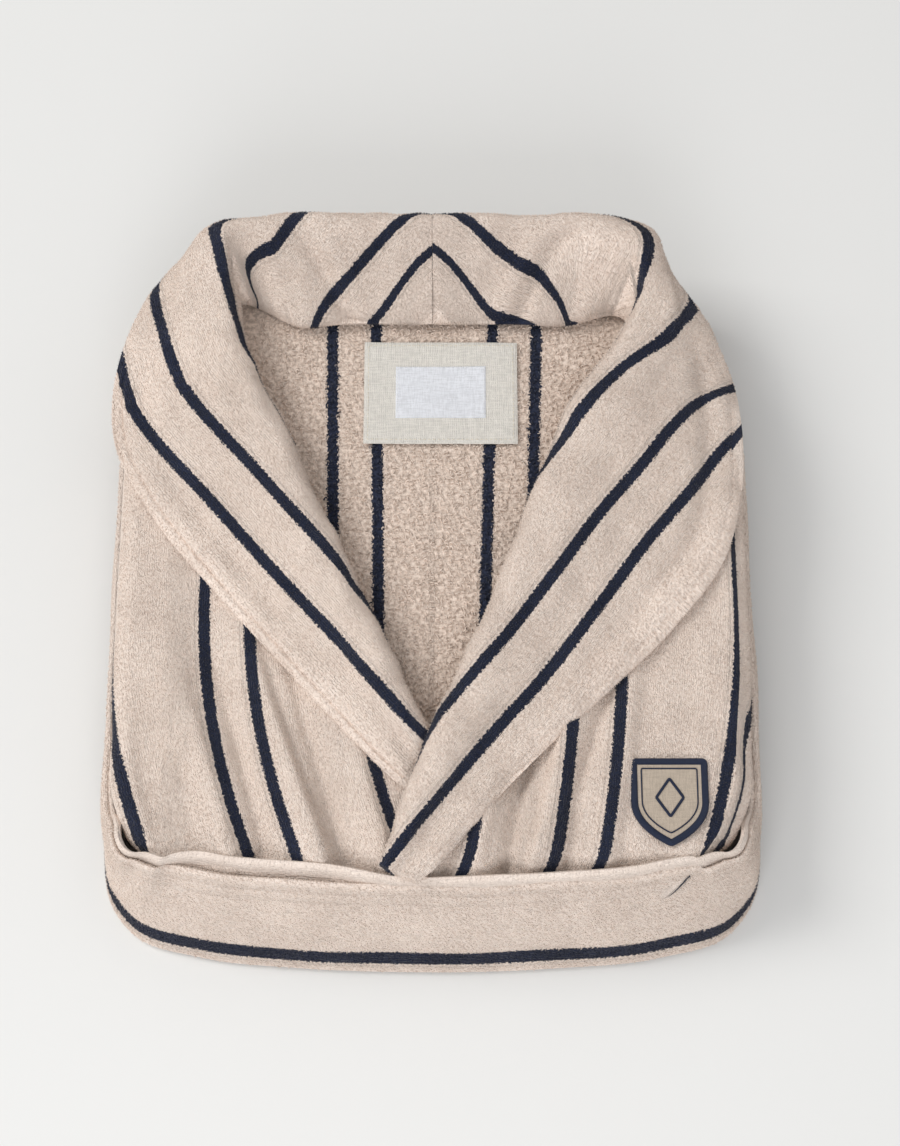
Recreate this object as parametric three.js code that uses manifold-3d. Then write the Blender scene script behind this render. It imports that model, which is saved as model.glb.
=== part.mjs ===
// A striped towelling bathrobe, folded face up into a flat pack, with its belt standing round the waist fold.
// Frame: millimetres, +Z up, +X across the shoulders, -Y towards the waist fold, +Y towards the collar.
// The origin is the centre of the underside of the whole pack.

import * as THREE from "three";
import { mergeVertices } from "three/addons/utils/BufferGeometryUtils.js";
import Module from "manifold-3d";

const wasm = await Module();
wasm.setup();

// Overall sizes of the folded robe.
const overallWidth = 368;
const overallDepth = 442;
const chestInset = 6;

// Cloth and the spaces between its layers.
const cloth = 4.4;
const layerGap = 0.5;
const foldCore = 1.6;
const seamGap = 0.6;
const fitGap = 0.3;

// Sleeves and cuffs, pressed flat between the skirt and the back.
const sleeveThickness = 8;
const cuffThickness = 9;
const sleeveWidth = 140;
const sleeveLength = 190;
const sleeveSlant = 30;
const sleeveSetBack = 110;
const cuffLength = 62;
const sleeveRound = 2;

// Waist fold, rear fold and hem.
const beltClearance = 4;
const beltSideClearance = 4.2;
const collarClearance = 10;
const hemInset = 12;
const waistTaperLength = 55;
const waistCorner = 44;
const frontOverlap = 26;

// Shoulders and neck, measured from the rear of the collar.
const shoulderPoint = 118;
const shoulderRun = 50;
const shoulderBend = 46;
const shoulderSeam = 16;
const neckSeam = 59;
const neckHalfWidth = 95.5;
const neckAllowance = 12;

// Roll lines of the shawl collar: they start beside the neck and end on the overlap or behind the belt.
const rollTop = 100;
const leftRollFoot = 124;
const rightRollFoot = 40;
const rightRollOffset = 27;
const rollCover = 10;

// Lapels and the back of the collar.
const lapelThickness = 11;
const lapelEdgeRound = 2.5;
const lapelOverhang = 3;
const lapelEndGap = 9;
const leftBelly = { upper: 88, lower: 62, foot: 8, reach: 1.2, rise: 0.35, fall: 0.85 };
const rightBelly = { upper: 125, lower: 62, foot: 16, reach: 1, rise: 0.25, fall: 0.62 };
const collarRise = 31;
const collarCloth = 10;
const collarFall = 50;
const collarRoundness = 14;
const standThickness = 8;

// Belt, folded double and stood on its edge.
const beltHeight = 62;
const beltCloth = 4;
const beltLayerGap = 0.8;
const beltLean = 24;
const beltSideLean = 8;
const beltCorner = 50;
const beltSideRun = 300;
const beltRearHeight = 44;
const beltStepStart = 66;
const beltStepRun = 34;

// Belt loops and pockets.
const loopWidth = 7;
const loopThickness = 1.6;
const loopSlack = 1.2;
const loopHeight = 36;
const loopLift = 4;
const loopFoot = 5;
const loopFront = 96;
const pocketWidth = 120;
const pocketDepth = 150;
const pocketCloth = 2.6;
const pocketGap = 0.4;
const pocketSide = 22;
const pocketFront = 50;

// Neck patch, woven label and crest.
const patchWidth = 92;
const patchDepth = 69;
const patchCloth = 0.8;
const patchDrop = 11;
const patchOffset = 5;
const labelWidth = 53;
const labelDepth = 34;
const labelCloth = 0.6;
const crestWidth = 43;
const crestDepth = 52;
const crestBorder = 4;
const crestCloth = 0.9;
const borderRise = 1.6;
const crestSide = 47;
const crestFront = 4;
const motifWidth = 15;
const motifDepth = 22;
const motifLine = 1.6;
const motifRise = 29;
const motifCloth = 0.6;

// Heights of the stack, worked out from the layers.
const halfDepth = overallDepth / 2;
const layerPitch = cloth + layerGap;
const skirtStack = 6 * cloth + 4 * layerGap + foldCore;
const sleeveLeftBase = skirtStack + layerGap;
const sleeveRightBase = sleeveLeftBase + cuffThickness + layerGap;
const packTop = sleeveRightBase + cuffThickness;
const splitHeight = packTop + layerGap / 2;
const backTop = packTop + layerGap + cloth;
const frontLeftTop = backTop + layerPitch;
const frontRightTop = frontLeftTop + layerPitch;
const waistRadius = frontRightTop / 2;
const skirtRadius = skirtStack / 2;

// Places along the depth of the pack.
const beltStack = 2 * beltCloth + beltLayerGap;
const waistFront = -halfDepth + beltStack + beltLean * waistRadius / beltHeight + beltClearance;
const waistCentre = waistFront + waistRadius;
const rearFold = halfDepth - collarCloth - collarClearance;
const skirtRearCentre = rearFold - skirtRadius;
const seamRear = halfDepth - shoulderSeam;
const neckY = halfDepth - neckSeam;
const rollTopY = halfDepth - rollTop;
const shoulderY = halfDepth - shoulderPoint;
const beltStep = -halfDepth + beltStepStart;
const chestFront = beltStep + beltStepRun + layerGap;
const halfOverall = overallWidth / 2;
const halfShoulder = halfOverall - chestInset;
const halfPack = halfOverall - beltStack - beltSideLean - beltSideClearance;
const farAway = overallWidth + overallDepth;
const arcSteps = 10;

// Colours of the yarns.
const towelling = new THREE.MeshStandardMaterial({ color: 0xc9b3a2, roughness: 0.95, metalness: 0 });
const terry = new THREE.MeshStandardMaterial({ color: 0xb59d8a, roughness: 0.98, metalness: 0 });
const beltCotton = new THREE.MeshStandardMaterial({ color: 0xcdb8a8, roughness: 0.95, metalness: 0 });
const linen = new THREE.MeshStandardMaterial({ color: 0xd8ccb8, roughness: 0.9, metalness: 0 });
const whiteSatin = new THREE.MeshStandardMaterial({ color: 0xf1f1f3, roughness: 0.6, metalness: 0 });
const crestFelt = new THREE.MeshStandardMaterial({ color: 0xc2b3a1, roughness: 0.9, metalness: 0 });
const navyThread = new THREE.MeshStandardMaterial({ color: 0x1f2a44, roughness: 0.55, metalness: 0 });

const robe = new THREE.Group();

function toSolid(geometry) {
  const bare = geometry.clone();
  bare.deleteAttribute("normal");
  bare.deleteAttribute("uv");
  const merged = mergeVertices(bare, 1e-4);
  const triVerts = Uint32Array.from(merged.index.array);
  const vertProperties = Float32Array.from(merged.attributes.position.array);
  return new wasm.Manifold(new wasm.Mesh({ numProp: 3, vertProperties, triVerts }));
}

function toGeometry(solid) {
  const mesh = solid.getMesh();
  const geometry = new THREE.BufferGeometry();
  geometry.setAttribute("position", new THREE.BufferAttribute(Float32Array.from(mesh.vertProperties), 3));
  geometry.setIndex(new THREE.BufferAttribute(Uint32Array.from(mesh.triVerts), 1));
  geometry.computeVertexNormals();
  return geometry;
}

function addPiece(name, geometry, material) {
  const mesh = new THREE.Mesh(geometry, material);
  mesh.name = name;
  robe.add(mesh);
}

// An outline in the plan, raised from one height to another.
function plate(outline, low, high) {
  const options = { depth: high - low, bevelEnabled: false, curveSegments: arcSteps };
  const geometry = new THREE.ExtrudeGeometry(outline, options);
  geometry.translate(0, 0, low);
  return geometry;
}

// The same with rounded upper and lower edges; the outline stays its widest line.
function softPlate(outline, low, high, round) {
  const options = {
    depth: high - low - 2 * round,
    bevelEnabled: true,
    bevelThickness: round,
    bevelSize: round,
    bevelOffset: -round,
    bevelSegments: 3,
    curveSegments: arcSteps,
  };
  const geometry = new THREE.ExtrudeGeometry(outline, options);
  geometry.translate(0, 0, low + round);
  return geometry;
}

// A profile in depth and height, run across the robe from one side to another.
function acrossProfile(profile, left, right) {
  const options = { depth: right - left, bevelEnabled: false, curveSegments: arcSteps };
  const geometry = new THREE.ExtrudeGeometry(profile, options);
  const turn = new THREE.Matrix4().makeBasis(
    new THREE.Vector3(0, 1, 0),
    new THREE.Vector3(0, 0, 1),
    new THREE.Vector3(1, 0, 0),
  );
  geometry.applyMatrix4(turn);
  geometry.translate(left, 0, 0);
  return geometry;
}

function polygon(points) {
  return new THREE.Shape(points.map(([x, y]) => new THREE.Vector2(x, y)));
}

function rectangle(left, front, right, rear) {
  return polygon([[left, front], [right, front], [right, rear], [left, rear]]);
}

// One layer of cloth: along the top, round the waist, back under the pack, round the rear fold to the hem.
function foldedLayer(inset, rear) {
  const waistOuter = waistRadius - inset;
  const waistInner = waistOuter - cloth;
  const rearOuter = skirtRadius - inset;
  const rearInner = rearOuter - cloth;
  const hem = waistCentre + hemInset;
  const profile = new THREE.Shape();
  profile.moveTo(rear, waistRadius + waistOuter);
  profile.lineTo(waistCentre, waistRadius + waistOuter);
  profile.absarc(waistCentre, waistRadius, waistOuter, Math.PI / 2, 3 * Math.PI / 2, false);
  profile.lineTo(skirtRearCentre, inset);
  profile.absarc(skirtRearCentre, skirtRadius, rearOuter, -Math.PI / 2, Math.PI / 2, false);
  profile.lineTo(hem, skirtRadius + rearOuter);
  profile.lineTo(hem, skirtRadius + rearInner);
  profile.lineTo(skirtRearCentre, skirtRadius + rearInner);
  profile.absarc(skirtRearCentre, skirtRadius, rearInner, Math.PI / 2, -Math.PI / 2, true);
  profile.lineTo(waistCentre, waistRadius - waistInner);
  profile.absarc(waistCentre, waistRadius, waistInner, 3 * Math.PI / 2, Math.PI / 2, true);
  profile.lineTo(rear, waistRadius + waistInner);
  profile.closePath();
  return profile;
}

// The front of the pack in plan, with its corners rounded to follow the belt, drawn from right to left.
function packFront() {
  const cornerX = halfPack - waistCorner;
  const cornerY = waistFront + waistCorner;
  const outline = new THREE.Shape();
  outline.moveTo(halfPack, cornerY);
  outline.absarc(cornerX, cornerY, waistCorner, 0, -Math.PI / 2, true);
  outline.absarc(-cornerX, cornerY, waistCorner, -Math.PI / 2, -Math.PI, true);
  return outline;
}

// The upper body seen in plan: drawn in at the waist, full at the chest, sloping at the shoulders.
function bodyOutline() {
  const shoulderTop = halfShoulder - shoulderRun;
  const outline = packFront();
  outline.lineTo(-halfPack, chestFront);
  outline.quadraticCurveTo(-halfShoulder, chestFront, -halfShoulder, chestFront + waistTaperLength);
  outline.lineTo(-halfShoulder, shoulderY);
  outline.quadraticCurveTo(-halfShoulder, seamRear - shoulderBend, -shoulderTop, seamRear);
  outline.lineTo(shoulderTop, seamRear);
  outline.quadraticCurveTo(halfShoulder, seamRear - shoulderBend, halfShoulder, shoulderY);
  outline.lineTo(halfShoulder, chestFront + waistTaperLength);
  outline.quadraticCurveTo(halfShoulder, chestFront, halfPack, chestFront);
  outline.closePath();
  return outline;
}

// The skirt and sleeves under the chest, seen in plan.
function packOutline() {
  const outline = packFront();
  outline.lineTo(-halfPack, halfDepth);
  outline.lineTo(halfPack, halfDepth);
  outline.closePath();
  return outline;
}

// The room that the folded body fills: narrow under the split height, full above it. The two lap a little,
// inside the gap between the sleeves and the back.
function bodyEnvelope() {
  const upper = toSolid(plate(bodyOutline(), splitHeight, farAway));
  const lower = toSolid(plate(packOutline(), -farAway, splitHeight + layerGap / 4));
  return upper.add(lower);
}

const envelope = bodyEnvelope();

// The roll line of a lapel, from the neck to its foot. side is -1 for the left and 1 for the right.
function rollLine(side) {
  const foot = side < 0 ? leftRollFoot : rightRollFoot;
  const offset = side < 0 ? 0 : -rightRollOffset;
  const top = new THREE.Vector2(side * neckHalfWidth, rollTopY);
  const bottom = new THREE.Vector2(offset, -halfDepth + foot);
  const along = bottom.clone().sub(top).normalize();
  const outward = new THREE.Vector2(-along.y * side, along.x * side);
  return { top, bottom, along, outward };
}

// The open V in front of a panel's inner edge, set back under the roll of the lapel.
function neckOpening(side) {
  const roll = rollLine(side);
  const edgeTop = roll.top.clone().addScaledVector(roll.outward, rollCover);
  const edgeFoot = edgeTop.clone().addScaledVector(roll.along, farAway);
  const inner = -side * farAway;
  return polygon([
    [edgeTop.x, farAway],
    [edgeTop.x, edgeTop.y],
    [edgeFoot.x, edgeFoot.y],
    [inner, edgeFoot.y],
    [inner, farAway],
  ]);
}

// A patch pocket lies flush in the underside of its panel, in a recess that is larger all round.
function pocketPlate(side, base, grow) {
  const outer = side * (halfPack - pocketSide);
  const inner = outer - side * pocketWidth;
  const front = waistCentre + pocketFront;
  const outline = rectangle(
    Math.min(outer, inner) - grow,
    front - grow,
    Math.max(outer, inner) + grow,
    front + pocketDepth + grow,
  );
  return plate(outline, base - grow, base + pocketCloth + grow);
}

function makeBackPanel() {
  const layer = toSolid(acrossProfile(foldedLayer(2 * layerPitch, seamRear), -halfShoulder, halfShoulder));
  const neck = rectangle(-neckHalfWidth, neckY + neckAllowance, neckHalfWidth, farAway);
  const neckCut = toSolid(plate(neck, splitHeight, farAway));
  addPiece("back_panel", toGeometry(layer.intersect(envelope).subtract(neckCut)), terry);
}

function makeFrontPanel(side) {
  const name = side < 0 ? "left" : "right";
  const inset = side < 0 ? layerPitch : 0;
  const outer = side * halfShoulder;
  const inner = -side * frontOverlap;
  const profile = foldedLayer(inset, seamRear);
  const layer = toSolid(acrossProfile(profile, Math.min(outer, inner), Math.max(outer, inner)));
  const opening = toSolid(plate(neckOpening(side), splitHeight, farAway));
  const recess = toSolid(pocketPlate(side, inset, pocketGap));
  const panel = layer.intersect(envelope).subtract(opening).subtract(recess);
  addPiece(`front_panel_${name}`, toGeometry(panel), towelling);
  addPiece(`pocket_${name}`, pocketPlate(side, inset, 0), towelling);
}

// A sleeve lies slanted across the pack from its armhole; the cuff follows it past a seam.
function makeSleeve(side) {
  const name = side < 0 ? "left" : "right";
  const base = side < 0 ? sleeveLeftBase : sleeveRightBase;
  const lift = (cuffThickness - sleeveThickness) / 2;
  const slant = THREE.MathUtils.degToRad(sleeveSlant);
  const axis = new THREE.Vector2(-side * Math.cos(slant), -Math.sin(slant));
  const across = new THREE.Vector2(-side * Math.sin(slant), Math.cos(slant));
  const armhole = new THREE.Vector2(side * (halfPack - layerGap), rearFold - sleeveSetBack);
  const half = sleeveWidth / 2;
  const armholeHalf = half / Math.cos(slant);
  const at = (along, sideways) => {
    const point = armhole.clone().addScaledVector(axis, along).addScaledVector(across, sideways);
    return [point.x, point.y];
  };
  const cuffStart = sleeveLength + seamGap;
  const cuffEnd = cuffStart + cuffLength;
  const sleeve = polygon([
    [armhole.x, armhole.y + armholeHalf],
    [armhole.x, armhole.y - armholeHalf],
    at(sleeveLength, -half),
    at(sleeveLength, half),
  ]);
  const cuff = polygon([at(cuffStart, half), at(cuffStart, -half), at(cuffEnd, -half), at(cuffEnd, half)]);
  const sleeveLow = base + lift;
  const sleevePlate = softPlate(sleeve, sleeveLow, sleeveLow + sleeveThickness, sleeveRound);
  const cuffPlate = softPlate(cuff, base, base + cuffThickness, sleeveRound);
  addPiece(`sleeve_${name}`, sleevePlate, towelling);
  addPiece(`cuff_${name}`, cuffPlate, towelling);
}

// Underside height of the lapel and the collar on one side: they lie on that side's front panel.
function lapelBase(side) {
  return (side < 0 ? frontLeftTop : frontRightTop) + layerGap;
}

// Where the seam between lapel and collar, square to the roll line, reaches the side of the robe.
function collarCorner(side) {
  const roll = rollLine(side);
  const reach = (halfShoulder + lapelOverhang - neckHalfWidth) / Math.abs(roll.outward.x);
  return { roll, reach };
}

function onRoll(roll, along, outward) {
  return roll.top.clone().addScaledVector(roll.along, along).addScaledVector(roll.outward, outward);
}

// A lapel narrows from the shoulder to its foot along a swelling outer edge.
function lapelOutline(side) {
  const { roll, reach } = collarCorner(side);
  const belly = side < 0 ? leftBelly : rightBelly;
  const length = roll.top.distanceTo(roll.bottom);
  const foot = length * belly.reach;
  const innerTop = onRoll(roll, seamGap, 0);
  const innerFoot = onRoll(roll, foot, 0);
  const outerFoot = onRoll(roll, foot, belly.foot);
  const lower = onRoll(roll, length * belly.fall, belly.lower);
  const upper = onRoll(roll, length * belly.rise, belly.upper);
  const outerTop = onRoll(roll, seamGap, reach);
  const outline = new THREE.Shape();
  outline.moveTo(innerTop.x, innerTop.y);
  outline.lineTo(innerFoot.x, innerFoot.y);
  outline.lineTo(outerFoot.x, outerFoot.y);
  outline.bezierCurveTo(lower.x, lower.y, upper.x, upper.y, outerTop.x, outerTop.y);
  outline.closePath();
  return outline;
}

// Everything on the right of the right roll line, less a gap: the left lapel stops short of it.
function rightLapelSide() {
  const roll = rollLine(1);
  const above = onRoll(roll, -farAway, -lapelEndGap);
  const below = onRoll(roll, farAway, -lapelEndGap);
  return polygon([
    [above.x, above.y],
    [below.x, below.y],
    [below.x + 2 * farAway, below.y],
    [above.x + 2 * farAway, above.y],
  ]);
}

function makeLapel(side) {
  const base = lapelBase(side);
  const outline = lapelOutline(side);
  const whole = toSolid(softPlate(outline, base, base + lapelThickness, lapelEdgeRound));
  const cover = toSolid(plate(rightLapelSide(), -farAway, farAway));
  const lapel = side < 0 ? whole.subtract(cover) : whole;
  addPiece(side < 0 ? "lapel_left" : "lapel_right", toGeometry(lapel), towelling);
}

// Half of the collar in plan, from the lapel seam round the shoulder to the centre back.
function collarOutline(side) {
  const { roll, reach } = collarCorner(side);
  const corner = onRoll(roll, 0, reach);
  const edge = side * (halfShoulder + lapelOverhang);
  const outline = new THREE.Shape();
  outline.moveTo(roll.top.x, roll.top.y);
  outline.lineTo(corner.x, corner.y);
  outline.lineTo(edge, shoulderY);
  outline.quadraticCurveTo(edge, halfDepth - shoulderBend, edge - side * shoulderRun, halfDepth);
  outline.lineTo(side * seamGap / 2, halfDepth);
  outline.lineTo(side * seamGap / 2, neckY);
  outline.lineTo(side * neckHalfWidth, neckY);
  outline.closePath();
  return outline;
}

// Section of the collar: it rises from its front to the roll at the rear, and falls behind the pack.
function collarSection(front, base, height) {
  const top = frontRightTop + collarRise;
  const section = new THREE.Shape();
  section.moveTo(front, base);
  section.lineTo(front, base + height);
  section.lineTo(neckY, base + height);
  section.lineTo(halfDepth - collarRoundness, top);
  section.quadraticCurveTo(halfDepth, top, halfDepth, top - collarRoundness);
  section.lineTo(halfDepth, top - collarFall);
  section.lineTo(halfDepth - collarCloth, top - collarFall);
  section.lineTo(halfDepth - collarCloth, base);
  section.closePath();
  return section;
}

function makeCollarBack(side) {
  const roll = rollLine(side);
  const panelEdge = roll.top.x + roll.outward.x * rollCover;
  const standEdge = panelEdge - side * layerGap;
  const outer = side * halfOverall;
  const standBase = backTop + layerGap;
  const stand = collarSection(neckY, standBase, standThickness);
  const fall = collarSection(rollTopY - farAway, lapelBase(side), lapelThickness);
  const middle = toSolid(acrossProfile(stand, Math.min(standEdge, 0), Math.max(standEdge, 0)));
  const inner = side * neckHalfWidth;
  const shoulder = toSolid(acrossProfile(fall, Math.min(outer, inner), Math.max(outer, inner)));
  const outline = toSolid(plate(collarOutline(side), 0, farAway));
  const collar = middle.add(shoulder).intersect(outline);
  addPiece(side < 0 ? "collar_back_left" : "collar_back_right", toGeometry(collar), towelling);
}

// The linen patch under the neck seam carries the woven label.
function makeNeckLabel() {
  const rear = neckY - patchDrop;
  const middle = rear - patchDepth / 2;
  const low = backTop + fitGap;
  const top = low + patchCloth;
  const patch = rectangle(
    patchOffset - patchWidth / 2,
    rear - patchDepth,
    patchOffset + patchWidth / 2,
    rear,
  );
  const label = rectangle(
    patchOffset - labelWidth / 2,
    middle - labelDepth / 2,
    patchOffset + labelWidth / 2,
    middle + labelDepth / 2,
  );
  addPiece("neck_patch", plate(patch, low, top), linen);
  addPiece("woven_label", plate(label, top + fitGap, top + fitGap + labelCloth), whiteSatin);
}

// A plain shield, straight across the top and curved to a point, drawn inside its full size by a margin.
function traceShield(path, centreX, tipY, margin) {
  const half = crestWidth / 2 - margin;
  const top = tipY + crestDepth - margin;
  const tip = tipY + margin * Math.SQRT2;
  const waist = tipY + crestDepth / 2;
  const bend = tipY + crestDepth / 4;
  path.moveTo(centreX - half, top);
  path.lineTo(centreX - half, waist);
  path.quadraticCurveTo(centreX - half, bend, centreX, tip);
  path.quadraticCurveTo(centreX + half, bend, centreX + half, waist);
  path.lineTo(centreX + half, top);
  path.closePath();
  return path;
}

function traceLozenge(path, centreX, centreY, width, depth) {
  path.moveTo(centreX - width / 2, centreY);
  path.lineTo(centreX, centreY - depth / 2);
  path.lineTo(centreX + width / 2, centreY);
  path.lineTo(centreX, centreY + depth / 2);
  path.closePath();
  return path;
}

function makeCrest() {
  const centreX = halfShoulder - crestSide;
  const tipY = waistCentre - crestFront;
  const centreY = tipY + motifRise;
  const low = frontRightTop + fitGap;
  const groundTop = low + crestCloth;
  const motifLow = groundTop + fitGap;
  const ground = traceShield(new THREE.Shape(), centreX, tipY, crestBorder + fitGap);
  const border = traceShield(new THREE.Shape(), centreX, tipY, 0);
  border.holes.push(traceShield(new THREE.Path(), centreX, tipY, crestBorder));
  const slant = Math.hypot(motifWidth, motifDepth);
  const innerWidth = motifWidth - 2 * motifLine * slant / motifDepth;
  const innerDepth = motifDepth - 2 * motifLine * slant / motifWidth;
  const motif = traceLozenge(new THREE.Shape(), centreX, centreY, motifWidth, motifDepth);
  motif.holes.push(traceLozenge(new THREE.Path(), centreX, centreY, innerWidth, innerDepth));
  addPiece("crest_ground", plate(ground, low, groundTop), crestFelt);
  addPiece("crest_border", plate(border, low, low + borderRise), navyThread);
  addPiece("crest_motif", plate(motif, motifLow, motifLow + motifCloth), navyThread);
}

// One long strip: along the left side, round the front and up the right side,
// then doubled back inside itself.
function beltOutline() {
  const side = halfOverall;
  const front = -halfDepth;
  const rear = -halfDepth + beltSideRun;
  const bend = front + beltCorner;
  const innerFace = beltCloth + beltLayerGap;
  const outline = new THREE.Shape();
  const along = (depth, fromLeft) => {
    const x = side - beltCorner;
    const radius = beltCorner - depth;
    if (fromLeft) {
      outline.lineTo(-side + depth, rear);
      outline.absarc(-x, bend, radius, Math.PI, 3 * Math.PI / 2, false);
      outline.absarc(x, bend, radius, 3 * Math.PI / 2, 2 * Math.PI, false);
      outline.lineTo(side - depth, rear);
    } else {
      outline.lineTo(side - depth, rear);
      outline.absarc(x, bend, radius, 2 * Math.PI, 3 * Math.PI / 2, true);
      outline.absarc(-x, bend, radius, 3 * Math.PI / 2, Math.PI, true);
      outline.lineTo(-side + depth, rear);
    }
  };
  outline.moveTo(-side, rear);
  along(0, true);
  outline.absarc(side - beltStack / 2, rear, beltStack / 2, 0, Math.PI, false);
  along(beltStack, false);
  along(innerFace, true);
  outline.absarc(side - beltStack / 2, rear, beltLayerGap / 2, Math.PI, 0, true);
  along(beltCloth, false);
  outline.closePath();
  return outline;
}

// The belt leans in towards its upper edge, and dips at the sides to pass under the chest.
function makeBelt() {
  const geometry = plate(beltOutline(), 0, beltHeight);
  const position = geometry.getAttribute("position");
  for (let i = 0; i < position.count; i += 1) {
    const rise = position.getZ(i) / beltHeight;
    position.setX(i, position.getX(i) * (1 - rise * beltSideLean / halfOverall));
    position.setY(i, position.getY(i) * (1 - rise * beltLean / halfDepth));
  }
  const dip = polygon([
    [beltStep, beltHeight + fitGap],
    [beltStep + beltStepRun, beltRearHeight],
    [farAway, beltRearHeight],
    [farAway, beltHeight + fitGap],
  ]);
  const room = toSolid(acrossProfile(dip, -farAway, farAway));
  addPiece("belt", toGeometry(toSolid(geometry).subtract(room)), beltCotton);
}

// A belt loop lies slack against the side of the pack, sewn down at both ends.
function makeBeltLoop(side) {
  const wall = halfPack + layerGap;
  const slack = wall + loopSlack;
  const outer = slack + loopThickness;
  const top = loopLift + loopHeight;
  const profile = polygon([
    [wall, loopLift],
    [outer, loopLift],
    [outer, top],
    [wall, top],
    [wall, top - loopFoot],
    [slack, top - loopFoot],
    [slack, loopLift + loopFoot],
    [wall, loopLift + loopFoot],
  ]);
  const geometry = plate(profile, 0, loopWidth);
  geometry.rotateX(Math.PI / 2);
  if (side < 0) {
    geometry.rotateZ(Math.PI);
    geometry.translate(0, -loopWidth, 0);
  }
  geometry.translate(0, -halfDepth + loopFront, 0);
  addPiece(side < 0 ? "belt_loop_left" : "belt_loop_right", geometry, towelling);
}

makeBackPanel();
for (const side of [-1, 1]) {
  makeFrontPanel(side);
  makeSleeve(side);
  makeLapel(side);
  makeCollarBack(side);
  makeBeltLoop(side);
}
makeNeckLabel();
makeCrest();
makeBelt();

export default robe;
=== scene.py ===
import math

import bmesh
import bpy
import numpy as np
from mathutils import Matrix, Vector


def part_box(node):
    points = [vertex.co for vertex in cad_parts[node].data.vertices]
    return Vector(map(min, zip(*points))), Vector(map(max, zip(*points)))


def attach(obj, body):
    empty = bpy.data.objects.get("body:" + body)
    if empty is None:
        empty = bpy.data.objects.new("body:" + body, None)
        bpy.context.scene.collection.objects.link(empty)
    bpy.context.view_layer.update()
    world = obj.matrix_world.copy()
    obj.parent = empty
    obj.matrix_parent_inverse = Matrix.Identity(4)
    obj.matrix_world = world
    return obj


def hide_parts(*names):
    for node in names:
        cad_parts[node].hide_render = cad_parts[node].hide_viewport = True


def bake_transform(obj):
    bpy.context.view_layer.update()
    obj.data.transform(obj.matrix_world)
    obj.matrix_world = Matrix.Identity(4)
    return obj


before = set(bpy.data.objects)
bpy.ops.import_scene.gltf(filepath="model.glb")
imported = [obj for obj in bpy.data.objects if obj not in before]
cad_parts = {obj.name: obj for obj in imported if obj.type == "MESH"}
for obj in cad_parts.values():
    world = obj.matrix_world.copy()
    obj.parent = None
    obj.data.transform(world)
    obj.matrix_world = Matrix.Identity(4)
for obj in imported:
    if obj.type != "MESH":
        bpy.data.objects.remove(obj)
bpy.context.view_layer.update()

bl_info = {
    "name": "Folded Bathrobe",
    "version": (1, 0, 0),
    "blender": (4, 5, 0),
    "location": "3D View > Sidebar > Bathrobe",
    "description": "Makes a folded striped bathrobe in velour and terry around its packed frame",
    "category": "Object",
}


# ---------------------------------------------------------------- sizes from the frame

class Pack:
    """Places of the folded pack, read from the frame's boxes, in metres."""

    cloth = 0.0044
    gap = 0.0005

    def __init__(self):
        low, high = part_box("front_panel_right")
        self.half_shoulder = high.x
        self.overlap = -low.x
        self.waist_radius = high.z / 2
        self.waist_front = low.y
        self.waist_centre = low.y + self.waist_radius
        self.seam_rear = high.y
        self.rear_fold = high.y - 0.004
        self.half_pack = self.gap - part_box("sleeve_left")[0].x
        self.skirt_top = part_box("cuff_left")[0].z - self.gap
        self.pitch = self.cloth + self.gap
        self.left_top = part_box("front_panel_left")[1].z
        self.right_top = high.z
        self.back_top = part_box("back_panel")[1].z
        self.half_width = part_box("belt")[1].x
        self.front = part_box("belt")[0].y
        self.belt_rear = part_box("belt")[1].y


pack = Pack()


# ---------------------------------------------------------------- settings

def length_setting(name, description, default):
    return bpy.props.FloatProperty(name=name, description=description, default=default, unit="LENGTH")


def colour_setting(name, description, default):
    return bpy.props.FloatVectorProperty(
        name=name, description=description, default=default, size=3, subtype="COLOR", min=0, max=1
    )


class RobeClothSettings(bpy.types.PropertyGroup):
    """Sizes and colours of the robe's cloth."""

    stripe_width: length_setting("Stripe width", "Width of one woven navy stripe", 0.0066)
    belt_stripe_width: length_setting("Belt stripe width", "Width of the stripe along the belt", 0.0092)
    pair_gap: length_setting("Pair gap", "Distance between the two stripes of a pair", 0.026)
    period: length_setting("Period", "Distance from one pair of stripes to the next", 0.092)
    collar_gap: length_setting("Collar gap", "Pair gap of the collar's own cloth", 0.031)
    collar_period: length_setting("Collar period", "The same on the collar", 0.077)
    rib_pitch: length_setting("Rib pitch", "Distance between the fine ribs of the velour", 0.0013)
    fray: length_setting("Fray", "How far the pile of a stripe strays over its edge", 0.0011)
    # Velour light and dark: the brushed clouds are the pile's own tone, and the rib and tip relief mixed in
    # is painted light and shade
    velour_light: colour_setting("Velour light", "Pile seen from its smooth side", (0.98, 0.855, 0.765))
    velour_dark: colour_setting("Velour dark", "Pile brushed the other way", (0.74, 0.615, 0.535))
    navy_light: colour_setting("Navy light", "Lit pile of the navy stripes", (0.030, 0.038, 0.072))
    navy_dark: colour_setting("Navy dark", "Shaded pile of the navy stripes", (0.008, 0.011, 0.024))
    terry_light: colour_setting("Terry light", "Outside of the terry loops", (0.93, 0.79, 0.69))
    # Terry dark is painted shade: the ground between the loops is darker than the loops, where they shade it
    terry_dark: colour_setting("Terry dark", "Ground between the terry loops", (0.52, 0.415, 0.345))
    pile_pitch: length_setting("Pile pitch", "Distance between the tufts of the velour", 0.00106)
    pile_height: length_setting("Pile height", "How far the tufts stand up", 0.00115)
    loop_pitch: length_setting("Loop pitch", "Distance between terry loops", 0.0019)
    loop_height: length_setting("Loop height", "How far a terry loop stands up", 0.0017)


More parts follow.
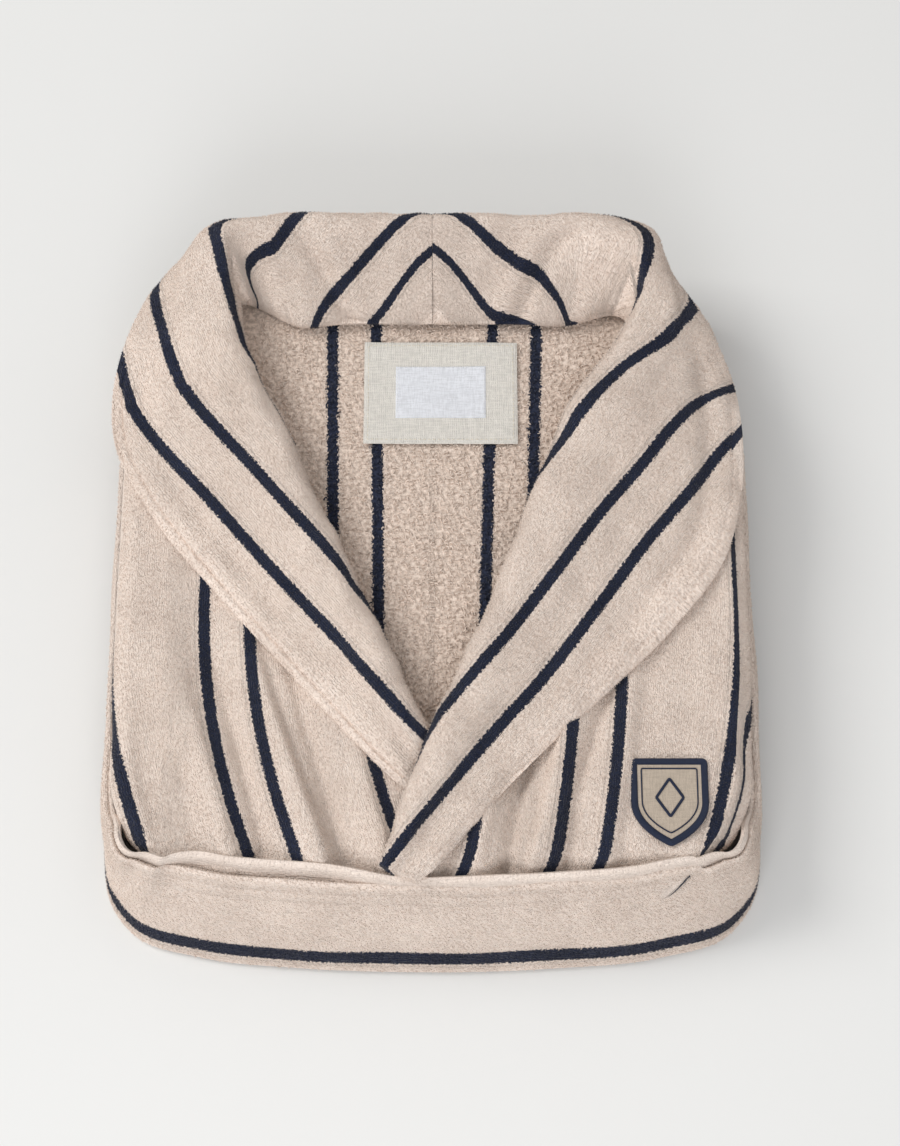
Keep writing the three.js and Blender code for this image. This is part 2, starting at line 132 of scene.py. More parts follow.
class RobeTrimSettings(bpy.types.PropertyGroup):
    """Sizes and colours of the neck label and the crest."""

    linen: colour_setting("Linen", "Yarn of the neck patch", (0.90, 0.865, 0.80))
    satin: colour_setting("Satin", "Woven label", (0.86, 0.88, 0.93))
    twill: colour_setting("Twill", "Ground of the crest", (0.56, 0.47, 0.38))
    thread: colour_setting("Thread", "Embroidery thread of the crest", (0.012, 0.02, 0.05))
    stitch_pitch: length_setting("Stitch pitch", "Distance from one stitch to the next", 0.0028)
    stitch_length: length_setting("Stitch length", "Length of one stitch", 0.0021)
    stitch_width: length_setting("Stitch width", "Thickness of the sewing thread", 0.00045)


class RobeStageSettings(bpy.types.PropertyGroup):
    """Camera and light."""

    elevation: bpy.props.FloatProperty(
        name="Elevation", description="Camera height above the horizon", default=math.radians(66),
        subtype="ANGLE",
    )
    distance: length_setting("Distance", "From the camera to the robe", 1.56)
    lens: bpy.props.FloatProperty(name="Lens", description="Focal length in millimetres", default=85)
    key_power: bpy.props.FloatProperty(
        name="Key light", description="Power of the soft light, in watts", default=111,
    )
    floor: colour_setting("Floor", "Paper under the robe", (0.80, 0.80, 0.79))


# ---------------------------------------------------------------- shader helpers

def add_node(tree, kind, inputs=None, **settings):
    made = tree.nodes.new(kind)
    for key, value in settings.items():
        setattr(made, key, value)
    for key, value in (inputs or {}).items():
        if isinstance(value, bpy.types.NodeSocket):
            tree.links.new(value, made.inputs[key])
        else:
            made.inputs[key].default_value = value
    return made


def maths(tree, operation, *values):
    node = add_node(tree, "ShaderNodeMath", dict(enumerate(values)), operation=operation)
    return node.outputs[0]


def noise(tree, vector, scale, detail=2.0, roughness=0.5):
    inputs = {"Vector": vector, "Scale": scale, "Detail": detail, "Roughness": roughness}
    return add_node(tree, "ShaderNodeTexNoise", inputs).outputs["Fac"]


def spread(tree, value, low, high, to_low=0.0, to_high=1.0):
    """Maps low..high to another range, smoothly and without going past its ends."""
    inputs = {"Value": value, "From Min": low, "From Max": high, "To Min": to_low, "To Max": to_high}
    return add_node(tree, "ShaderNodeMapRange", inputs, interpolation_type="SMOOTHSTEP").outputs[0]


def blend_colours(tree, share, first, second):
    node = add_node(tree, "ShaderNodeMix", data_type="RGBA")
    for index, value in ((0, share), (6, first), (7, second)):
        if isinstance(value, bpy.types.NodeSocket):
            tree.links.new(value, node.inputs[index])
        elif index == 0:
            node.inputs[0].default_value = value
        else:
            node.inputs[index].default_value = (*value, 1)
    return node.outputs[2]


def new_group(name, inputs, outputs):
    """A shader node group with float sockets, its inputs given with their starting values."""
    tree = bpy.data.node_groups.new(name, "ShaderNodeTree")
    for label, value in inputs.items():
        socket = tree.interface.new_socket(name=label, in_out="INPUT", socket_type="NodeSocketFloat")
        socket.default_value = value
    for label in outputs:
        tree.interface.new_socket(name=label, in_out="OUTPUT", socket_type="NodeSocketFloat")
    start = tree.nodes.new("NodeGroupInput")
    end = tree.nodes.new("NodeGroupOutput")
    return tree, start.outputs, end


def cloth_vector(tree, across, along, stretch=1.0):
    along = maths(tree, "MULTIPLY", along, stretch)
    return add_node(tree, "ShaderNodeCombineXYZ", {"X": across, "Y": along}).outputs[0]


def stripe_group():
    """Masks for the navy stripes, which run in pairs, and for the thin pale line beside each."""
    name = "Stripe Pairs"
    if name in bpy.data.node_groups:
        return bpy.data.node_groups[name]
    inputs = {"Across": 0, "Along": 0, "Period": 0.092, "Pair Gap": 0.026, "Width": 0.0066, "Fray": 0.001}
    tree, given, end = new_group(name, inputs, ["Stripe", "Selvedge"])
    place = cloth_vector(tree, given["Across"], given["Along"], 0.55)
    tuft = maths(tree, "SUBTRACT", noise(tree, place, 1100, 1.5, 0.6), 0.5)
    stray = maths(tree, "MULTIPLY", tuft, maths(tree, "MULTIPLY", given["Fray"], 3.2))
    lead = 0.012
    shifted = maths(tree, "ADD", maths(tree, "ADD", given["Across"], lead), stray)
    place_in = maths(tree, "FLOORED_MODULO", shifted, given["Period"])
    half = maths(tree, "MULTIPLY", given["Width"], 0.5)
    soft = 0.0002
    masks = []
    lines = []
    second = maths(tree, "ADD", given["Pair Gap"], lead)
    for centre in (lead, second):
        away = maths(tree, "SUBTRACT", place_in, centre)
        beyond = maths(tree, "SUBTRACT", maths(tree, "ABSOLUTE", away), half)
        masks.append(spread(tree, beyond, -soft, soft, 1.0, 0.0))
        beside = maths(tree, "ADD", away, maths(tree, "ADD", half, 0.0021))
        lines.append(spread(tree, maths(tree, "ABSOLUTE", beside), 0.0003, 0.0009, 1.0, 0.0))
    tree.links.new(maths(tree, "MAXIMUM", *masks), end.inputs["Stripe"])
    tree.links.new(maths(tree, "MAXIMUM", *lines), end.inputs["Selvedge"])
    return tree


def pile_group():
    """Cloudy brushing and fine broken ribs of a shorn pile; its shade is the brushing's own tone plus painted
    light and shade from the relief.
    """
    name = "Shorn Pile"
    if name in bpy.data.node_groups:
        return bpy.data.node_groups[name]
    inputs = {"Across": 0, "Along": 0, "Rib Pitch": 0.0013, "Cloud Size": 0.03}
    tree, given, end = new_group(name, inputs, ["Shade", "Height"])
    place = cloth_vector(tree, given["Across"], given["Along"])
    clouds = noise(tree, place, maths(tree, "DIVIDE", 1.0, given["Cloud Size"]), 3.0, 0.55)
    streaks = noise(tree, cloth_vector(tree, given["Across"], given["Along"], 0.3), 260, 2.0, 0.6)
    grain = noise(tree, cloth_vector(tree, given["Across"], given["Along"], 0.45), 1500, 2.0, 0.65)
    wander = maths(tree, "MULTIPLY", noise(tree, place, 170, 1.0), 0.0022)
    turns = maths(tree, "DIVIDE", maths(tree, "ADD", given["Across"], wander), given["Rib Pitch"])
    rib = maths(tree, "SINE", maths(tree, "MULTIPLY", turns, 2 * math.pi))
    rib = maths(tree, "MULTIPLY", rib, spread(tree, streaks, 0.35, 0.65, 0.1, 0.5))
    tips = noise(tree, cloth_vector(tree, given["Across"], given["Along"], 0.7), 620, 2.0, 0.7)
    rough = maths(tree, "MULTIPLY", maths(tree, "SUBTRACT", grain, 0.5), 2.4)
    rough = maths(tree, "ADD", rough, maths(tree, "MULTIPLY", maths(tree, "SUBTRACT", tips, 0.5), 3.0))
    height = maths(tree, "ADD", rib, rough)
    brushed = spread(tree, clouds, 0.3, 0.7)
    # Painted light and shade: the relief of ribs and fibre tips makes crests lighter and hollows darker
    fine = maths(tree, "MULTIPLY", height, 0.3)
    patchy = maths(tree, "MULTIPLY", maths(tree, "SUBTRACT", streaks, 0.5), 0.7)
    shade = maths(tree, "ADD", maths(tree, "ADD", maths(tree, "MULTIPLY", brushed, 0.30), 0.42), fine)
    shade = maths(tree, "ADD", shade, patchy)
    tree.links.new(add_node(tree, "ShaderNodeClamp", {"Value": shade}).outputs[0], end.inputs["Shade"])
    tree.links.new(height, end.inputs["Height"])
    return tree


def new_material(name, roughness, **constants):
    """A material with a Principled shader whose constant values sit on its own sockets."""
    material = bpy.data.materials.new(name)
    material.use_nodes = True
    tree = material.node_tree
    shader = tree.nodes["Principled BSDF"]
    shader.inputs["Roughness"].default_value = roughness
    for label, value in constants.items():
        shader.inputs[label.replace("_", " ")].default_value = value
    return material, tree, shader


def add_bump(tree, shader, height, distance, strength=1.0):
    inputs = {"Height": height, "Distance": distance, "Strength": strength}
    tree.links.new(add_node(tree, "ShaderNodeBump", inputs).outputs[0], shader.inputs["Normal"])


def cloth_place(tree):
    across = add_node(tree, "ShaderNodeAttribute", attribute_name="across").outputs["Fac"]
    along = add_node(tree, "ShaderNodeAttribute", attribute_name="along").outputs["Fac"]
    return across, along


def use_group(tree, group, inputs):
    node = tree.nodes.new("ShaderNodeGroup")
    node.node_tree = group
    for key, value in inputs.items():
        if isinstance(value, bpy.types.NodeSocket):
            tree.links.new(value, node.inputs[key])
        else:
            node.inputs[key].default_value = value
    return node.outputs


def velour_material(name, pair_gap, period=None, width=None):
    """Shorn velour in beige with navy stripes; a pair gap of nought leaves single stripes."""
    if name in bpy.data.materials:
        return bpy.data.materials[name]
    cloth = bpy.context.scene.robe_cloth
    material, tree, shader = new_material(name, 0.92, Sheen_Weight=0.18, Sheen_Roughness=0.4)
    shader.inputs["Specular IOR Level"].default_value = 0.15
    shader.inputs["Sheen Tint"].default_value = (1.0, 0.93, 0.86, 1)
    across, along = cloth_place(tree)
    places = {"Across": across, "Along": along}
    sizes = {"Period": period or cloth.period, "Pair Gap": pair_gap, "Fray": cloth.fray}
    sizes["Width"] = width or cloth.stripe_width
    stripe = use_group(tree, stripe_group(), {**places, **sizes})
    pile = use_group(tree, pile_group(), {**places, "Rib Pitch": cloth.rib_pitch, "Cloud Size": 0.032})
    # Partly painted light and shade: the pile's own brushed tone mixed with its relief, lighter on the crests
    beige = blend_colours(tree, pile["Shade"], cloth.velour_dark, cloth.velour_light)
    pale = maths(tree, "MULTIPLY", stripe["Selvedge"], 0.35)
    beige = blend_colours(tree, pale, beige, (0.42, 0.36, 0.32))
    navy = blend_colours(tree, pile["Shade"], cloth.navy_dark, cloth.navy_light)
    colour = blend_colours(tree, stripe["Stripe"], beige, navy)
    tree.links.new(colour, shader.inputs["Base Color"])
    raised = maths(tree, "ADD", pile["Height"], maths(tree, "MULTIPLY", stripe["Stripe"], 0.8))
    add_bump(tree, shader, raised, 0.00045)
    return material


def terry_material(name, loops):
    """Terry in beige with navy stripes: its loops, or the ground that they stand on."""
    if name in bpy.data.materials:
        return bpy.data.materials[name]
    cloth = bpy.context.scene.robe_cloth
    material, tree, shader = new_material(name, 0.95, Sheen_Weight=0.2, Sheen_Roughness=0.5)
    shader.inputs["Specular IOR Level"].default_value = 0.12
    across, along = cloth_place(tree)
    sizes = {"Period": cloth.period + 0.0035, "Pair Gap": cloth.pair_gap, "Width": cloth.stripe_width}
    inputs = {"Across": across, "Along": along, "Fray": cloth.fray * 1.6, **sizes}
    stripe = use_group(tree, stripe_group(), inputs)
    place = cloth_vector(tree, across, along)
    mottle = spread(tree, noise(tree, place, 420, 3.0, 0.6), 0.3, 0.7)
    # Painted shade: the ground is darker than the loops, as where the loops shade it
    beige = blend_colours(tree, mottle, cloth.terry_dark, cloth.terry_light)
    if loops:
        beige = blend_colours(tree, mottle, tuple(0.72 * c for c in cloth.terry_light), cloth.terry_light)
    navy = blend_colours(tree, mottle, cloth.navy_dark, cloth.navy_light)
    colour = blend_colours(tree, stripe["Stripe"], beige, navy)
    tree.links.new(colour, shader.inputs["Base Color"])
    lumps = noise(tree, place, 900, 2.0, 0.7)
    add_bump(tree, shader, lumps, 0.0008 if not loops else 0.0002)
    return material


def woven_material(name, colour, warp_pitch, weft_pitch, depth, roughness=0.85):
    """A plain weave of two yarns that cross, uneven as spun yarn is."""
    if name in bpy.data.materials:
        return bpy.data.materials[name]
    material, tree, shader = new_material(name, roughness, Sheen_Weight=0.1)
    shader.inputs["Specular IOR Level"].default_value = 0.2
    place = add_node(tree, "ShaderNodeTexCoord").outputs["Object"]
    axes = add_node(tree, "ShaderNodeSeparateXYZ", {"Vector": place}).outputs
    uneven = maths(tree, "MULTIPLY", noise(tree, place, 160, 2.0), 0.0012)
    waves = []
    for axis, pitch in ((0, warp_pitch), (1, weft_pitch)):
        turns = maths(tree, "DIVIDE", maths(tree, "ADD", axes[axis], uneven), pitch)
        waves.append(maths(tree, "SINE", maths(tree, "MULTIPLY", turns, 2 * math.pi)))
    weave = maths(tree, "ADD", maths(tree, "MULTIPLY", *waves), maths(tree, "MULTIPLY", waves[0], 0.4))
    slubs = []
    for stretch in ((1, 0.12, 1), (0.12, 1, 1)):
        drawn = add_node(tree, "ShaderNodeMapping", {"Vector": place, "Scale": stretch}).outputs[0]
        slubs.append(maths(tree, "MULTIPLY", noise(tree, drawn, 1300, 2.0, 0.6), 0.5))
    yarn = maths(tree, "ADD", *slubs)
    tone = maths(tree, "ADD", spread(tree, yarn, 0.35, 0.65), maths(tree, "MULTIPLY", weave, 0.12))
    base = blend_colours(tree, tone, tuple(0.86 * c for c in colour), tuple(min(1, 1.06 * c) for c in colour))
    tree.links.new(base, shader.inputs["Base Color"])
    add_bump(tree, shader, maths(tree, "ADD", weave, tone), depth)
    return material


def thread_material(name, colour, pitch=0.0005):
    """Laid embroidery thread: fine ridges across its path, with a soft gloss."""
    if name in bpy.data.materials:
        return bpy.data.materials[name]
    material, tree, shader = new_material(name, 0.5, Sheen_Weight=0.05)
    shader.inputs["Specular IOR Level"].default_value = 0.35
    across, along = cloth_place(tree)
    ridge = maths(tree, "SINE", maths(tree, "MULTIPLY", along, 2 * math.pi / pitch))
    stray = noise(tree, cloth_vector(tree, across, along), 900, 2.0)
    tone = maths(tree, "ADD", maths(tree, "MULTIPLY", ridge, 0.35), stray)
    base = blend_colours(tree, tone, colour, tuple(min(1, 1.7 * c) for c in colour))
    tree.links.new(base, shader.inputs["Base Color"])
    add_bump(tree, shader, ridge, 0.0002)
    return material


# ---------------------------------------------------------------- mesh helpers

def smooth_step(value):
    value = np.clip(value, 0, 1)
    return value * value * (3 - 2 * value)


def smooth_through(knots, values, at):
    """A smooth curve that passes through values at knots, read at other places."""
    knots = np.asarray(knots, float)
    values = np.asarray(values, float)
    at = np.clip(np.asarray(at, float), knots[0], knots[-1])
    flat = values.reshape(len(knots), -1)
    step = np.diff(knots)[:, None]
    slope = np.diff(flat, axis=0) / step
    middle = (slope[:-1] * step[1:] + slope[1:] * step[:-1]) / (step[:-1] + step[1:])
    tangent = np.vstack([slope[:1], middle, slope[-1:]])
    i = np.clip(np.searchsorted(knots, at, side="right") - 1, 0, len(knots) - 2)
    width = step[i]
    t = (at - knots[i])[:, None] / width
    a = 2 * t**3 - 3 * t**2 + 1
    b = t**3 - 2 * t**2 + t
    c = 3 * t**2 - 2 * t**3
    d = t**3 - t**2
    made = a * flat[i] + b * width * tangent[i] + c * flat[i + 1] + d * width * tangent[i + 1]
    return made.reshape(len(at), *values.shape[1:])


def lengths_along(points):
    """Distance along a line of points from its first point."""
    return np.concatenate([[0], np.cumsum(np.linalg.norm(np.diff(points, axis=0), axis=1))])


def ripple(x, y, size, seed, waves=7):
    """Gentle unevenness between about -1 and 1, with bumps of about the size given."""
    random = np.random.default_rng(seed)
    total = np.zeros(np.broadcast(x, y).shape)
    for _ in range(waves):
        heading = random.uniform(0, 2 * math.pi)
        pace = 2 * math.pi / (size * random.uniform(0.7, 1.6))
        phase = random.uniform(0, 2 * math.pi)
        total = total + np.sin(pace * (x * math.cos(heading) + y * math.sin(heading)) + phase)
    return total / math.sqrt(waves * 2)


def ring_normals(rings):
    """Outward normals of a skin of closed rings."""
    around = np.roll(rings, -1, axis=1) - np.roll(rings, 1, axis=1)
    forward = np.gradient(rings, axis=0)
    normal = np.cross(around, forward)
    normal /= np.maximum(np.linalg.norm(normal, axis=2, keepdims=True), 1e-12)
    centre = rings.mean(axis=1, keepdims=True)
    outward = ((rings - centre) * normal).sum()
    return normal if outward > 0 else -normal


def make_mesh(name, points, faces, material, across=None, along=None, turn_out=True):
    """A smooth piece at the origin from points and faces, with the cloth's own coordinates on its points."""
    mesh = bpy.data.meshes.new(name)
    mesh.from_pydata(np.asarray(points, float).reshape(-1, 3).tolist(), [], faces)
    if across is not None:
        for label, values in (("across", across), ("along", along)):
            attribute = mesh.attributes.new(label, "FLOAT", "POINT")
            attribute.data.foreach_set("value", np.asarray(values, np.float32).ravel())
    if turn_out:
        shape = bmesh.new()
        shape.from_mesh(mesh)
        bmesh.ops.recalc_face_normals(shape, faces=shape.faces)
        shape.to_mesh(mesh)
        shape.free()
    mesh.shade_smooth()
    mesh.set_sharp_from_angle(angle=math.radians(62))
    mesh.materials.append(material)
    piece = bpy.data.objects.new(name, mesh)
    bpy.context.scene.collection.objects.link(piece)
    return piece


def skin_faces(count, size):
    """Faces of a closed skin over count rings of size points, with both ends shut."""
    faces = []
    for i in range(count - 1):
        for j in range(size):
            k = (j + 1) % size
            faces.append((i * size + j, i * size + k, (i + 1) * size + k, (i + 1) * size + j))
    faces.append(tuple(range(size))[::-1])
    faces.append(tuple((count - 1) * size + j for j in range(size)))
    return faces


def make_skin(name, rings, material, across, along):
    return make_mesh(name, rings, skin_faces(*rings.shape[:2]), material, across, along)


def fold_line(x, y, points, width, height, fade=0.02):
    """Height of a long soft crease whose line is given from rear to front; negative heights are valleys.
    The two widths are those of its left and right flanks."""
    line = np.asarray(points, float)
    order = np.argsort(line[:, 1])
    centre = np.interp(y, line[order, 1], line[order, 0])
    start = smooth_step((line[:, 1].max() + fade - y) / fade)
    end = smooth_step((y - line[:, 1].min() + fade) / fade)
    flank = np.where(x < centre, width[0], width[1])
    return height * np.exp(-(((x - centre) / flank) ** 2)) * start * end


# ---------------------------------------------------------------- folded layers

def layer_stations(inset, step):
    """Centreline of a folded layer in depth and height with its outward normals: along the top to the waist,
    round it, under the pack, round the rear fold and forward to the hem."""
    middle = pack.waist_radius
    waist = middle - inset - pack.cloth / 2
    skirt_middle = pack.skirt_top / 2
    rear = skirt_middle - inset - pack.cloth / 2
    rear_centre = pack.rear_fold - skirt_middle
    hem = pack.waist_centre + 0.012
    top = np.arange(pack.seam_rear, pack.waist_centre, -step)
    points = [(y, middle + waist, 0.0, 1.0) for y in top]
    for angle in np.linspace(math.pi / 2, 3 * math.pi / 2, 30):
        c, s = math.cos(angle), math.sin(angle)
        points.append((pack.waist_centre + waist * c, middle + waist * s, c, s))
    for y in np.linspace(pack.waist_centre, rear_centre, 46)[1:-1]:
        points.append((y, inset + pack.cloth / 2, 0.0, -1.0))
    for angle in np.linspace(-math.pi / 2, math.pi / 2, 16):
        c, s = math.cos(angle), math.sin(angle)
        points.append((rear_centre + rear * c, skirt_middle + rear * s, c, s))
    for y in np.linspace(rear_centre, hem, 40)[1:]:
        points.append((y, skirt_middle + rear, 0.0, 1.0))
    return np.array(points), len(top)


def pack_half_width(y):
    """Half width of the pack under the chest, rounded at its front corners."""
    corner = 0.044
    centre = pack.waist_front + corner
    rise = np.clip((centre - y) / corner, 0, 1)
    return pack.half_pack - corner + corner * np.sqrt(1 - rise**2)


def chest_half_width(y):
    """Half width of the chest: it overhangs the belt and slopes at the shoulders."""
    swell = smooth_step((y + 0.166) / 0.044) ** 0.7
    width = pack_half_width(y) + (pack.half_shoulder - 0.002 - pack.half_pack) * swell
    width = width + 0.002 * smooth_step((y + 0.11) / 0.05) - 0.005 * smooth_step((-0.158 - y) / 0.014)
    slope = np.clip((y - 0.103) / (pack.seam_rear - 0.103), 0, 1)
    return width - 0.05 * slope**1.8


def folded_layer(name, material, inset, edges, curls, step=0.003, columns=72, relief=None, shift=None):
    """One layer of cloth as a closed slab, curled down at its sides.
    edges(y, past) gives its left and right edge, where past grows from 0 to 1 round the waist, and curls
    gives the radii of the edges."""
    stations, top_count = layer_stations(inset, step)
    count = len(stations)
    past = smooth_step((np.arange(count) - top_count) / 14)
    y, z, ny, nz = stations.T
    left, right = edges(y, past)
    radius_left, radius_right = curls
    quarter = math.pi / 2
    first = left + radius_left * (1 - quarter)
    last = right - radius_right * (1 - quarter)
    share = np.linspace(0, 1, columns)
    flat = first[:, None] + (last - first)[:, None] * share
    turn_left = np.clip((left[:, None] + radius_left - flat) / max(radius_left, 1e-6), 0, quarter)
    turn_right = np.clip((flat - right[:, None] + radius_right) / max(radius_right, 1e-6), 0, quarter)
    turn_left *= radius_left > 0
    turn_right *= radius_right > 0
    x = np.clip(flat, left[:, None] + radius_left, right[:, None] - radius_right)
    x = x - radius_left * np.sin(turn_left) + radius_right * np.sin(turn_right)
    sink = radius_left * (1 - np.cos(turn_left)) + radius_right * (1 - np.cos(turn_right))
    lean_x = -np.sin(turn_left) + np.sin(turn_right)
    lean_n = np.cos(turn_left + turn_right)
    depth = np.broadcast_to(y[:, None], x.shape)
    path = lengths_along(stations[:, :2])
    lift = np.zeros(x.shape)
    if relief is not None:
        bend = smooth_step((top_count + 24 - np.arange(count)) / 16)[:, None]
        lift = relief(x, depth) * bend
    half = np.full((count, 1), pack.cloth / 2)
    ends = np.minimum(path, path[-1] - path)[:, None]
    half = half * np.sqrt(1 - (1 - np.clip(ends / 0.003, 0.05, 1)) ** 2)

    def shell(offset):
        out = lift - sink + offset * lean_n
        side = x + offset * lean_x
        return np.stack([side, y[:, None] + ny[:, None] * out, z[:, None] + nz[:, None] * out], axis=2)

    def edge(column, sign):
        """Rounded edge: two points past the last column."""
        found = []
        for angle in (math.pi / 4, -math.pi / 4):
            reach = half[:, 0] * math.cos(angle) * sign
            offset = half[:, 0] * math.sin(angle)
            tangent_x, tangent_n = lean_n[:, column], -lean_x[:, column]
            side = x[:, column] + offset * lean_x[:, column] + reach * tangent_x
            out = lift[:, column] - sink[:, column] + offset * lean_n[:, column] + reach * tangent_n
            found.append(np.stack([side, y + ny * out, z + nz * out], axis=1)[:, None])
        return found

    upper, lower = shell(half), shell(-half)
    right_edge, left_edge = edge(-1, 1), edge(0, -1)
    rings = np.concatenate([upper, *right_edge, lower[:, ::-1], *left_edge[::-1]], axis=1)
    cloth = flat if shift is None else flat + shift(x, depth, past[:, None])
    pair = np.ones((1, 2))
    across = np.concatenate([cloth, cloth[:, -1:] * pair, cloth[:, ::-1], cloth[:, :1] * pair], axis=1)
    along = np.broadcast_to(path[:, None], across.shape)
    piece = make_skin(name, rings, material, across, along)
    width = right - left
    area = float(np.sum((width[1:] + width[:-1]) / 2 * np.diff(path)))
    return piece, (float(width.max()), float(path[-1])), area


def declare_layer(piece, node):
    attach(piece, "root")
    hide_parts(node)


# Roll lines of the lapels in plan: top, foot.
ROLL = {-1: ((-0.0955, 0.121), (0.0, -0.097)), 1: ((0.0955, 0.121), (-0.027, -0.181))}


def roll_x(side, y):
    """Where a lapel's roll line is, at a depth."""
    top, foot = ROLL[side]
    share = (top[1] - y) / (top[1] - foot[1])
    return top[0] + (foot[0] - top[0]) * np.clip(share, 0, 3)


# Pleats, as (line in plan from rear to front, widths of the left and right flank, height, fade at the ends).
LEFT_PLEATS = (
    (((-0.115, 0.0), (-0.107, -0.028), (-0.092, -0.078), (-0.077, -0.120), (-0.062, -0.160), (-0.054, -0.19)),
     (0.013, 0.0035), 0.0068, 0.03),
    (((-0.124, -0.05), (-0.107, -0.110), (-0.092, -0.165)), (0.005, 0.007), -0.0042, 0.05),
    (((-0.140, -0.07), (-0.121, -0.13), (-0.106, -0.18)), (0.012, 0.005), 0.0042, 0.05),
    (((-0.085, -0.04), (-0.066, -0.11), (-0.046, -0.18)), (0.004, 0.008), -0.0036, 0.04),
    (((-0.056, -0.06), (-0.038, -0.12), (-0.022, -0.18)), (0.012, 0.005), 0.0036, 0.04),
    (((-0.169, -0.11), (-0.150, -0.18)), (0.008, 0.004), 0.0022, 0.03),
)
RIGHT_PLEATS = (
    (((0.087, -0.055), (0.077, -0.088), (0.069, -0.12), (0.063, -0.15), (0.052, -0.188)),
     (0.004, 0.011), 0.0058, 0.04),
    (((0.096, -0.08), (0.081, -0.13), (0.073, -0.18)), (0.004, 0.005), -0.0036, 0.04),
    (((0.058, -0.10), (0.048, -0.14), (0.040, -0.185)), (0.006, 0.004), -0.0044, 0.03),
    (((0.036, -0.12), (0.030, -0.15), (0.024, -0.185)), (0.007, 0.004), 0.0034, 0.03),
    (((0.114, -0.06), (0.106, -0.12), (0.094, -0.18)), (0.008, 0.005), 0.0034, 0.04),
    (((0.016, -0.14), (0.006, -0.185)), (0.005, 0.005), -0.0028, 0.02),
)


def left_relief(x, y):
    """Pleats that the belt gathers in the left front."""
    near = smooth_step((-0.02 - y) / 0.1)
    lift = 0.0012 * ripple(x, y, 0.07, 3) + 0.0005 * ripple(x, y, 0.022, 4)
    for line, width, height, fade in LEFT_PLEATS:
        lift += fold_line(x, y, line, width, height, fade)
    return settle(lift * (0.35 + 0.9 * near) + 0.001, y)


def right_relief(x, y):
    """Pleats that the belt gathers in the right front."""
    near = smooth_step((-0.02 - y) / 0.1)
    lift = 0.0012 * ripple(x, y, 0.07, 13) + 0.0005 * ripple(x, y, 0.022, 14)
    for line, width, height, fade in RIGHT_PLEATS:
        lift += fold_line(x, y, line, width, height, fade)
    held = smooth_step((-0.166 - y) / 0.014) * smooth_step((x - 0.026) / 0.016)
    return settle(lift * (0.35 + 0.9 * near) + 0.001, y) - 0.0038 * held


def settle(lift, y):
    """Presses relief flat where the belt holds the cloth."""
    held = smooth_step((y + 0.186) / 0.02)
    return np.minimum(lift, 0.0005) * (1 - held) + lift * held


class ROBE_OT_front_panels(bpy.types.Operator):
    """Both front panels: folded at the waist and under the pack, pleated where the belt gathers them"""

    bl_idname = "robe.front_panels"
    bl_label = "Front panels"

    def execute(self, context):
        velour = velour_material("Striped velour", context.scene.robe_cloth.pair_gap)
        for side in (-1, 1):
            name = "left" if side < 0 else "right"

            def edges(y, past, side=side):
                outer = np.where(past == 0, chest_half_width(y), pack_half_width(y) - 0.005 * (past < 1))
                outer = outer - 0.013 * smooth_step((-0.192 - y) / 0.018)
                limit = -side * pack.overlap
                under_roll = roll_x(side, y) + side * (0.0108 + 0.6 * np.clip(y - 0.115, 0, 0.05))
                inner = np.maximum(limit, under_roll) if side > 0 else np.minimum(limit, under_roll)
                inner = inner + (limit - inner) * past
                return (inner, outer) if side > 0 else (-outer, inner)

            def shift(x, y, past, side=side):
                drawn = np.clip((-0.02 - y) / 0.165, 0, 1.2) ** 2
                if side < 0:
                    outside = 0.010 * smooth_step((-0.132 - x) / 0.02)
                    return 0.129 - 0.036 * drawn - outside + 0.007 * smooth_step((x + 0.07) / 0.03)
                pull = 0.016 + 0.012 * smooth_step((x - 0.11) / 0.04)
                near_front = smooth_step((0.062 - x) / 0.03)
                hidden = 0.022 * smooth_step((x - chest_half_width(y) + 0.008) / 0.005)
                hidden = hidden * (0.4 + 0.6 * smooth_step((-0.06 - y) / 0.05))
                return -0.082 + pull * drawn - 0.019 * near_front + hidden + 0.011 * past

            inset = pack.pitch if side < 0 else 0.0
            curls = (0.009, 0.0) if side < 0 else (0.0, 0.0095)
            piece, flat, area = folded_layer(
                f"front_panel_{name}_cloth", velour, inset, edges, curls,
                relief=left_relief if side < 0 else right_relief, shift=shift, columns=104,
            )
            declare_layer(piece, f"front_panel_{name}")
            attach(add_pile(piece, pack.back_top), "root")
        return {"FINISHED"}


